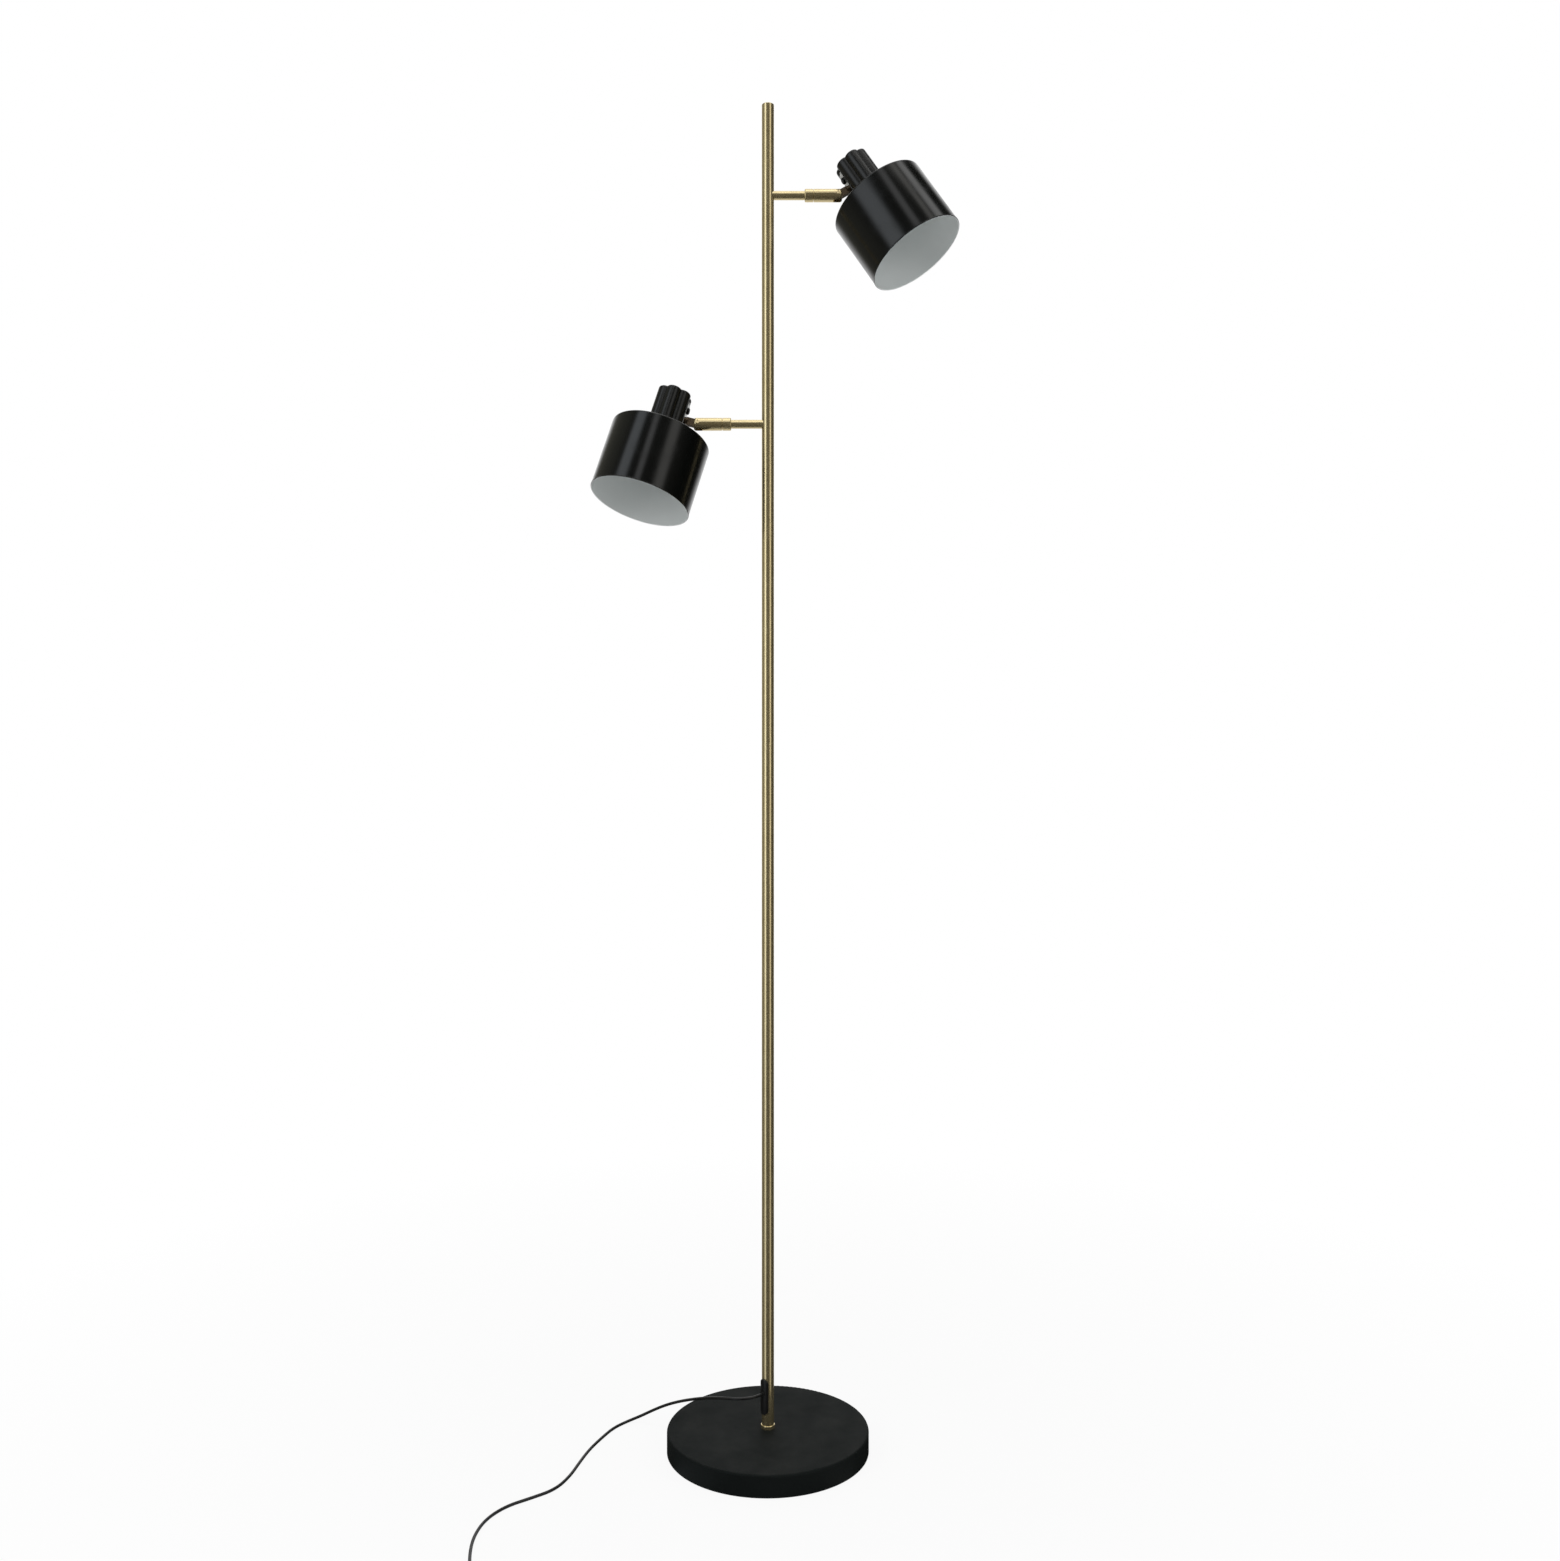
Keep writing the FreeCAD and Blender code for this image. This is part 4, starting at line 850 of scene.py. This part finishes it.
@dataclass
class SideArm(SubAssembly):
    """One brass arm with its collar, its swivelling barrel and the pin in the barrel's fork."""

    side: Side

    def build(self) -> None:
        """Dress its nodes, with the metal's lines about the arm's own axis."""
        prefix = self.side.prefix
        joint = next(j for j in frame["joints"] if j["name"] == f"{prefix}_swivel")
        axis_point = tuple(joint["pos_m"])
        drawn = SatinBrass(f"{prefix}_arm_drawn", Worked.DRAWN, Axis.ACROSS, axis_point)
        turned = SatinBrass(f"{prefix}_arm_turned", Worked.TURNED, Axis.ACROSS, axis_point)
        self.dress(drawn, f"{prefix}_arm")
        self.dress(turned, f"{prefix}_collar", f"{prefix}_barrel", f"{prefix}_pivot_pin")
        self.dress(Palette.black_steel, f"{prefix}_snap_ring")


@dataclass
class SpotHead(SubAssembly):
    """One head: knuckle, strap, lobed cover, lamp holder and shade. Sizes are in millimetres."""

    side: Side
    socket_rise: float = 3.5
    # Shade
    shade_radius: float = 57.1
    shade_depth: float = 83.0
    shade_wall: float = 0.8
    shade_corner: float = 2.2
    shade_hole: float = 14.3
    bead_radius: float = 0.65
    bead_reach: float = 0.4
    shade_segments: int = 144
    outside_steps: int = 8
    inside_steps: int = 6
    # Cover
    lobes: int = 6
    lobe_offset: float = 11.5
    lobe_radius: float = 9.0
    lobe_points: int = 20
    cover_height: float = 57.0
    cover_edge: float = 2.6
    edge_steps: int = 6
    cover_bore: float = 15.7
    cover_top_wall: float = 2.0
    slot_width: float = 12.5
    slot_top: float = 50.6
    bar_outside: float = 17.85
    bar_thickness: float = 2.8
    bar_half_span: float = 7.25
    bar_half_height: float = 4.5
    screw_rise: float = 39.0
    screw_hole: float = 2.3
    hole_points: int = 24
    cut_start: float = 2.0
    cut_past: float = 1.0

    def place(self) -> Matrix:
        """Where the head's own frame is, from its tilt axis and its lamp socket.

        Returns:
            The frame: X to the knuckle's side, Z up through the cover, zero on the shade's top.
        """
        prefix = self.side.prefix
        joint = next(j for j in frame["joints"] if j["name"] == f"{prefix}_tilt")
        mounts = frame["record"]["mounts"]
        socket = next(m for m in mounts if m["name"] == f"{prefix}_lamp_socket")
        up = -Vector(socket["axis"]).normalized()
        across = Vector(joint["axis"]).normalized()
        out = across.cross(up)
        origin = Vector(socket["pos_m"]) - up * self.socket_rise * MM
        turn = Matrix((out, across, up)).transposed().to_4x4()
        return Matrix.Translation(origin) @ turn

    def shade(self) -> bpy.types.Object:
        """Spin the shade: black outside, pale inside, with a rolled bead at its opening.

        Returns:
            The shade, in the head's own frame.
        """
        outer, corner, wall = self.shade_radius, self.shade_corner, self.shade_wall
        heel = (outer - corner, -corner)
        bead = (outer + self.bead_reach - self.bead_radius, self.bead_radius - self.shade_depth)
        outside = [(self.shade_hole, 0.0), *arc(heel, corner, 90.0, 0.0, self.outside_steps)]
        outside += arc(bead, self.bead_radius, 60.0, -90.0, self.outside_steps)
        inside = arc(bead, self.bead_radius, -90.0, -200.0, self.inside_steps)[1:]
        inside += arc(heel, corner - wall, 0.0, 90.0, self.inside_steps)
        inside += [(self.shade_hole, -wall)]
        solid = Solid()
        rings = [solid.ring(circle(r, z, self.shade_segments)) for r, z in outside + inside]
        painted = len(outside) - 1
        edge = len(rings) - 1
        solid.skin(rings + rings[:1], lambda i: 1 if painted <= i < edge else 0)
        return solid.finished(f"{self.side.prefix}_spun_shade")

    def lobed_ring(self, solid: Solid, inset: float, height: float) -> list[bmesh.types.BMVert]:
        """Add the cover's outline, drawn in by an inset.

        Args:
            solid: The mesh that it is added to.
            inset: How far it lies inside the cover's outside.
            height: Its height.

        Returns:
            Its vertices.
        """
        radius = self.lobe_radius - inset
        points = []
        for lobe in range(self.lobes):
            middle = math.pi * (2 * lobe + 1) / self.lobes
            for step in range(self.lobe_points):
                off = math.pi / self.lobes * (2 * step / self.lobe_points - 1)
                chord = math.sqrt(radius**2 - (self.lobe_offset * math.sin(off)) ** 2)
                reach = self.lobe_offset * math.cos(off) + chord
                angle = middle + off
                points.append((reach * math.cos(angle), reach * math.sin(angle), height))
        return solid.ring(points)

    def cover(self) -> bpy.types.Object:
        """Mould the cover: six lobes, a rounded top edge, a bore, a slot and its cross bar.

        Returns:
            The cover, in the head's own frame.
        """
        solid = Solid()
        edge = self.cover_edge
        shoulder = arc((-edge, self.cover_height - edge), edge, 0, 90, self.edge_steps)
        outside = [self.lobed_ring(solid, -x, height) for x, height in shoulder]
        foot = self.lobed_ring(solid, 0.0, 0.0)
        ceiling = self.cover_height - self.cover_top_wall
        points = self.lobes * self.lobe_points
        bore = [solid.ring(circle(self.cover_bore, height, points)) for height in (ceiling, 0.0)]
        solid.skin([*bore, foot, *outside])
        solid.cap(bore[0])
        solid.cap(outside[-1])
        cover = solid.finished(f"{self.side.prefix}_lobed_cover")
        half = self.slot_width / 2
        reach = self.lobe_offset + self.lobe_radius * 2
        slot = block((self.cut_start, -half, -self.cut_past), (reach, half, self.slot_top))
        combine(cover, slot, "DIFFERENCE")
        bar_low = (self.bar_outside - self.bar_thickness, -self.bar_half_span)
        low = (*bar_low, self.screw_rise - self.bar_half_height)
        high = (self.bar_outside, self.bar_half_span, self.screw_rise + self.bar_half_height)
        combine(cover, block(low, high), "UNION")
        hole = Solid()
        rim = circle(self.screw_hole, 0.0, self.hole_points)
        ends = [
            hole.ring([(x, a, self.screw_rise + b) for a, b, _ in rim])
            for x in (self.cut_start, reach)
        ]
        hole.skin(ends)
        for end in ends:
            hole.cap(end)
        combine(cover, hole.finished("working_hole"), "DIFFERENCE")
        cover.data.shade_smooth()
        cover.data.set_sharp_from_angle(angle=math.radians(SHARP))
        return cover

    def build(self) -> None:
        """Build the shade and the cover, and dress the other nodes."""
        prefix = self.side.prefix
        body = f"{prefix}_head"
        place = self.place()
        shade, cover = self.shade(), self.cover()
        shade.matrix_world = cover.matrix_world = place
        self.mount(
            shade, body, "shade_enamel", f"{prefix}_shade", Palette.shade_black, Palette.shade_inside
        )
        self.mount(cover, body, "cover_plastic", f"{prefix}_cover", Palette.cover_black)
        # The knuckles get their brass darkened, which paints in the shade they sit in.
        self.dress(Palette.bronze, f"{prefix}_knuckle")
        self.dress(Palette.zinc, f"{prefix}_strap", f"{prefix}_knuckle_nut")
        self.dress(Palette.zinc, f"{prefix}_holder_nipple", f"{prefix}_holder_nut")
        self.dress(Palette.black_steel, f"{prefix}_cover_screw")
        self.dress(Palette.holder_white, f"{prefix}_lamp_holder", f"{prefix}_shade_ring")
        self.dress(Palette.turned_brass, f"{prefix}_thread_shell")


@dataclass
class FootSwitch(SubAssembly):
    """The switch on the cord: its two moulded halves and its button."""

    def build(self) -> None:
        """Dress its nodes."""
        self.dress(Palette.moulded_black, "switch_base", "switch_cover", "switch_button")


@dataclass
class Plug(SubAssembly):
    """The moulded plug and its two pins."""

    def build(self) -> None:
        """Dress its nodes."""
        self.dress(Palette.moulded_black, "plug_body")
        self.dress(Palette.nickel, "plug_pins")


@dataclass
class SupplyCord(SubAssembly):
    """The cord from the pole over the floor to the foot switch, its coil and the plug.

    Its points are in millimetres, and both stretches are smooth splines through them.
    """

    diameter: float = 3.3
    coil_middle: tuple[float, float] = (-84.0, -296.0)
    coil_inner_radius: float = 16.0
    coil_pitch: float = 3.8
    coil_layer_pitch: float = 3.75
    turns_per_layer: int = 2
    layers: int = 4
    points_per_turn: int = 24
    round_steps: int = 5
    smooth_steps: int = 6
    run: list[Point] = field(
        default_factory=lambda: [
            (-7.093, -7.877, 65.6),
            (-14.5, -16.1, 66.0),
            (-25.8, -20.0, 66.0),
            (-38.6, -17.7, 64.8),
            (-54.2, -5.0, 60.6),
            (-70.0, 9.0, 54.6),
            (-86.0, 24.5, 46.6),
            (-103.0, 39.5, 37.6),
            (-119.5, 52.0, 28.2),
            (-136.0, 62.0, 17.6),
            (-152.0, 68.5, 7.4),
            (-168.0, 66.5, 1.8),
            (-182.0, 50.0, 1.65),
            (-192.5, 25.0, 1.65),
            (-203.0, -4.0, 1.65),
            (-210.0, -35.0, 1.65),
            (-216.0, -67.0, 1.65),
            (-227.5, -97.0, 1.65),
            (-250.0, -115.5, 1.65),
            (-274.0, -133.0, 1.65),
            (-290.0, -160.0, 1.65),
            (-295.0, -193.0, 1.65),
            (-292.0, -226.0, 1.65),
            (-285.0, -257.0, 1.65),
            (-274.0, -284.0, 1.65),
            (-255.0, -301.5, 2.2),
            (-230.0, -303.0, 4.6),
        ]
    )
    link: list[Point] = field(
        default_factory=lambda: [
            (-148.0, -303.0, 4.6),
            (-132.0, -303.0, 4.2),
            (-117.0, -311.5, 2.0),
            (-103.0, -319.8, 1.65),
            (-87.3, -319.6, 1.65),
        ]
    )
    tail: list[Point] = field(
        default_factory=lambda: [
            (-80.7, -319.6, 12.9),
            (-65.0, -319.8, 12.6),
            (-50.0, -318.0, 10.2),
            (-36.0, -315.5, 7.6),
            (-20.0, -315.0, 6.85),
        ]
    )

    def coil(self) -> list[Point]:
        """Wind the put-away length: spirals in and out that climb where they reverse.

        Returns:
            The points of its turns.
        """
        layer_turn = 2 * math.pi * self.turns_per_layer
        steps = self.points_per_turn * self.turns_per_layer * self.layers
        drawn_in = math.cos(math.pi / self.points_per_turn)
        outer = self.coil_inner_radius + self.coil_pitch * self.turns_per_layer
        points = []
        for step in range(steps + 1):
            angle = layer_turn * self.layers * step / steps
            phase = angle % (2 * layer_turn)
            inward = min(phase, 2 * layer_turn - phase) / (2 * math.pi)
            radius = (outer - self.coil_pitch * inward) / drawn_in
            climbed = 0.0
            for reversal in range(1, self.layers):
                eased = max(-math.pi / 2, min(math.pi / 2, angle - reversal * layer_turn))
                climbed += (1 + math.sin(eased)) / 2
            x = self.coil_middle[0] + radius * math.sin(angle)
            y = self.coil_middle[1] - radius * math.cos(angle)
            points.append((x, y, self.diameter / 2 + climbed * self.coil_layer_pitch))
        return points

    def lay(self, name: str, points: list[Point]) -> bpy.types.Object:
        """Lay one stretch as a smooth spline.

        Args:
            name: The piece's name.
            points: Its control points.

        Returns:
            The curve.
        """
        curve = bpy.data.curves.new(name, "CURVE")
        curve.dimensions = "3D"
        curve.bevel_depth = self.diameter / 2 * MM
        curve.bevel_resolution = self.round_steps
        curve.resolution_u = self.smooth_steps
        curve.use_fill_caps = True
        spline = curve.splines.new("NURBS")
        spline.points.add(len(points) - 1)
        for control, (x, y, z) in zip(spline.points, points):
            control.co = (x * MM, y * MM, z * MM, 1.0)
        spline.order_u = 3
        spline.use_endpoint_u = True
        curve.materials.append(self.palette.get(Palette.sheath_black))
        cord = bpy.data.objects.new(name, curve)
        bpy.context.scene.collection.objects.link(cord)
        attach(cord, "stand")
        LOG.info("laid %s", name)
        return cord

    def build(self) -> None:
        run = self.lay("supply_cord", self.run)
        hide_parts("cord_run")
        tuple(value * MM for value in self.run[0])
        rest = self.lay("plug_cord", self.link + self.coil() + self.tail)
        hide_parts("cord_link", "cord_coil", "cord_tail")
        tuple(value * MM for value in self.link[0])


# Camera and studio


@dataclass(frozen=True)
class PhotoCamera:
    """The camera that sees the lamp as the photograph does: level, looking along +Y."""

    place: Point = (0.0138, -1.6433, 0.7634)
    focal_pixels: float = 1439.0
    frame_pixels: float = 1560.0
    sensor_mm: float = 36.0

    def build(self) -> None:
        """Make the camera and give it to the scene."""
        data = bpy.data.cameras.new("photo_camera")
        data.sensor_fit = "HORIZONTAL"
        data.sensor_width = self.sensor_mm
        data.lens = self.sensor_mm * self.focal_pixels / self.frame_pixels
        camera = bpy.data.objects.new("photo_camera", data)
        camera.location = self.place
        camera.rotation_euler = (math.radians(90), 0.0, 0.0)
        bpy.context.scene.collection.objects.link(camera)
        bpy.context.scene.camera = camera


@dataclass(frozen=True)
class Softbox:
    """One soft lamp aimed at the middle of the object."""

    name: str
    place: Point
    width: float
    height: float
    power: float
    aim: Point = (0.0, 0.0, 0.85)

    def build(self) -> None:
        """Make the lamp. What it looks like in a gloss is the surround's strip of light."""
        data = bpy.data.lights.new(self.name, "AREA")
        data.shape = "RECTANGLE"
        data.size, data.size_y, data.energy = self.width, self.height, self.power
        lamp = bpy.data.objects.new(self.name, data)
        lamp.location = self.place
        lamp.visible_glossy = False
        gaze = Vector(self.aim) - Vector(self.place)
        lamp.rotation_euler = gaze.to_track_quat("-Z", "Y").to_euler()
        bpy.context.scene.collection.objects.link(lamp)


@dataclass(frozen=True)
class Strip:
    """An upright strip of light in the surround, by its bearing from the camera's side."""

    bearing: float
    half_width: float
    soft_edge: float
    colour: Colour
    lowest: float = -2.0


@dataclass
class Studio:
    """A pale floor, a white backdrop, a dim room in front and soft lamps."""

    floor_half: float = 9.0
    ambient: float = 0.42
    room: Colour = (0.085, 0.08, 0.066)
    left_wall: Colour = (0.2, 0.195, 0.16)
    right_wall: Colour = (0.02, 0.018, 0.012)
    white: Colour = (1.0, 1.0, 1.0)
    wall_blend: float = 0.1
    room_edge: tuple[float, float] = (90.0, 65.0)
    backdrop_edge: tuple[float, float] = (138.0, 156.0)
    strip_foot: float = 0.1
    floor_colour: Colour = (0.82, 0.82, 0.82)
    floor_roughness: float = 0.9
    evened_at: tuple[float, float] = (0.3, 1.3)
    evened: tuple[float, float] = (0.91, 1.0)
    # The floor's painted reflection of the light strips: where it starts and ends, and how strongly it glows.
    sheen_at: tuple[float, float] = (0.4, 4.0)
    sheen: tuple[float, float] = (0.55, 0.85)
    strips: tuple[Strip, ...] = (
        Strip(-49.0, 15.0, 9.0, (1.25, 1.32, 1.38)),
        Strip(47.0, 10.0, 8.0, (1.05, 1.03, 0.98)),
        Strip(-2.0, 7.0, 5.0, (1.1, 1.1, 1.1), 0.5),
        Strip(84.0, 17.0, 12.0, (1.7, 1.7, 1.68), 0.6),
        Strip(0.0, 46.0, 14.0, (1.7, 1.68, 1.6), 0.84),
    )
    lamps: tuple[Softbox, ...] = (
        Softbox("key_softbox", (-1.9, -1.7, 1.7), 0.9, 1.9, 20.0),
        Softbox("fill_softbox", (2.1, -1.2, 1.2), 0.7, 1.9, 13.0),
        Softbox("top_softbox", (0.0, -0.3, 3.0), 1.2, 1.2, 20.0),
    )

    def build(self) -> None:
        """Make the floor, the world and the lamps."""
        scene = bpy.context.scene
        scene.view_settings.view_transform = "Standard"
        self._floor()
        self._world(scene)
        for lamp in self.lamps:
            lamp.build()
            LOG.info("lit %s", lamp.name)

    def _seen_in_gloss(self, graph: Graph, direction: object) -> bpy.types.NodeSocket:
        """Colour the surround as a gloss shows it, by its direction.

        Args:
            graph: The node tree.
            direction: The direction's socket, seen from the object.

        Returns:
            The colour's socket.
        """
        parts = graph.add("ShaderNodeSeparateXYZ")
        graph.feed(parts.inputs[0], direction)
        towards_camera = graph.math("MULTIPLY", parts.outputs["Y"], -1.0)
        bearing = graph.math("ARCTAN2", parts.outputs["X"], towards_camera)
        away = graph.math("ABSOLUTE", bearing)
        side = graph.spread(bearing, -self.wall_blend, self.wall_blend)
        walls = graph.blend(side, self.left_wall, self.right_wall)
        ahead = graph.spread(away, *(math.radians(edge) for edge in self.room_edge))
        colour = graph.blend(ahead, walls, self.room)
        for strip in self.strips:
            off = graph.math("ABSOLUTE", graph.math("SUBTRACT", bearing, math.radians(strip.bearing)))
            inner = math.radians(strip.half_width - strip.soft_edge / 2)
            outer = math.radians(strip.half_width + strip.soft_edge / 2)
            above = graph.spread(parts.outputs["Z"], strip.lowest, strip.lowest + self.strip_foot)
            mask = graph.math("MULTIPLY", graph.spread(off, outer, inner), above)
            colour = graph.blend(mask, colour, strip.colour)
        behind = graph.spread(away, *(math.radians(edge) for edge in self.backdrop_edge))
        return graph.blend(behind, colour, self.white)

    def _floor(self) -> None:
        """Lay the floor: white to the camera but for the object's shadow, and a painted reflection in a gloss."""
        half = self.floor_half
        mesh = bpy.data.meshes.new("studio_floor")
        corners = [(-half, -half, 0), (half, -half, 0), (half, half, 0), (-half, half, 0)]
        mesh.from_pydata(corners, [], [(0, 1, 2, 3)])
        floor = bpy.data.objects.new("studio_floor", mesh)
        bpy.context.scene.collection.objects.link(floor)
        coat = Coat("pale_floor")
        coat.set(Base_Color=self.floor_colour, Roughness=self.floor_roughness)
        length = coat.add("ShaderNodeVectorMath", operation="LENGTH")
        coat.feed(length.inputs[0], coat.vector)
        path = coat.add("ShaderNodeLightPath")
        glow = coat.add("ShaderNodeEmission")
        through = path.outputs["Is Transmission Ray"]
        plain = coat.math("MAXIMUM", path.outputs["Is Camera Ray"], through)
        evened = coat.spread(length.outputs["Value"], *self.evened_at, *self.evened)
        mix = coat.add("ShaderNodeMixShader")
        coat.feed(mix.inputs["Fac"], coat.math("MULTIPLY", plain, evened))
        coat.feed(mix.inputs[1], coat.surface.outputs["BSDF"])
        coat.feed(mix.inputs[2], glow.outputs["Emission"])
        # Painted reflection: to glossy rays the floor glows with the surround's light strips, stronger further
        # out.
        sheen = coat.add("ShaderNodeEmission")
        coat.feed(sheen.inputs["Color"], self._seen_in_gloss(coat, coat.vector))
        strength = coat.spread(length.outputs["Value"], *self.sheen_at, *self.sheen)
        coat.feed(sheen.inputs["Strength"], strength)
        both = coat.add("ShaderNodeMixShader")
        coat.feed(both.inputs["Fac"], path.outputs["Is Glossy Ray"])
        coat.feed(both.inputs[1], mix.outputs["Shader"])
        coat.feed(both.inputs[2], sheen.outputs["Emission"])
        coat.feed(coat.output.inputs["Surface"], both.outputs["Shader"])
        mesh.materials.append(coat.material)
        floor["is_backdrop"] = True

    def _world(self, scene: bpy.types.Scene) -> None:
        """Surround the set: white to look at, a room in a gloss, an even light to be lit by.

        Args:
            scene: The scene that gets the world.
        """
        scene.world = bpy.data.worlds.new("white_surround")
        scene.world.use_nodes = True
        graph = Graph(scene.world.node_tree)
        graph.tree.nodes.clear()
        path = graph.add("ShaderNodeLightPath")
        direction = graph.add("ShaderNodeTexCoord").outputs["Generated"]
        lit, gloss, seen = (graph.add("ShaderNodeBackground") for _ in range(3))
        graph.feed(lit.inputs["Color"], (*self.white, 1.0))
        graph.feed(lit.inputs["Strength"], self.ambient)
        graph.feed(gloss.inputs["Color"], self._seen_in_gloss(graph, direction))
        graph.feed(seen.inputs["Color"], (*self.white, 1.0))
        through = path.outputs["Is Transmission Ray"]
        plain = graph.math("MAXIMUM", path.outputs["Is Camera Ray"], through)
        shown = lit.outputs["Background"]
        for mask, view in ((path.outputs["Is Glossy Ray"], gloss), (plain, seen)):
            mix = graph.add("ShaderNodeMixShader")
            graph.feed(mix.inputs["Fac"], mask)
            graph.feed(mix.inputs[1], shown)
            graph.feed(mix.inputs[2], view.outputs["Background"])
            shown = mix.outputs["Shader"]
        graph.feed(graph.add("ShaderNodeOutputWorld").inputs["Surface"], shown)


def corners(box: tuple[Vector, Vector]) -> list[list[float]]:
    """Write a box's two corners as plain lists."""
    return [list(corner) for corner in box]


def main() -> None:
    """Dress the lamp, lay its cords, and set the camera and the studio."""
    logging.basicConfig(level=logging.INFO, format="%(name)s: %(message)s")
    cad_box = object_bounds()
    palette = Palette()
    parts = [FloorBase(palette), Pole(palette), FootSwitch(palette), Plug(palette), SupplyCord(palette)]
    for side in Side:
        parts += [SideArm(palette, side), SpotHead(palette, side)]
    for part in parts:
        part.build()
    PhotoCamera().build()
    Studio().build()
    {"cad": corners(cad_box), "dressed": corners(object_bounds())}


if __name__ == "__main__":
    main()
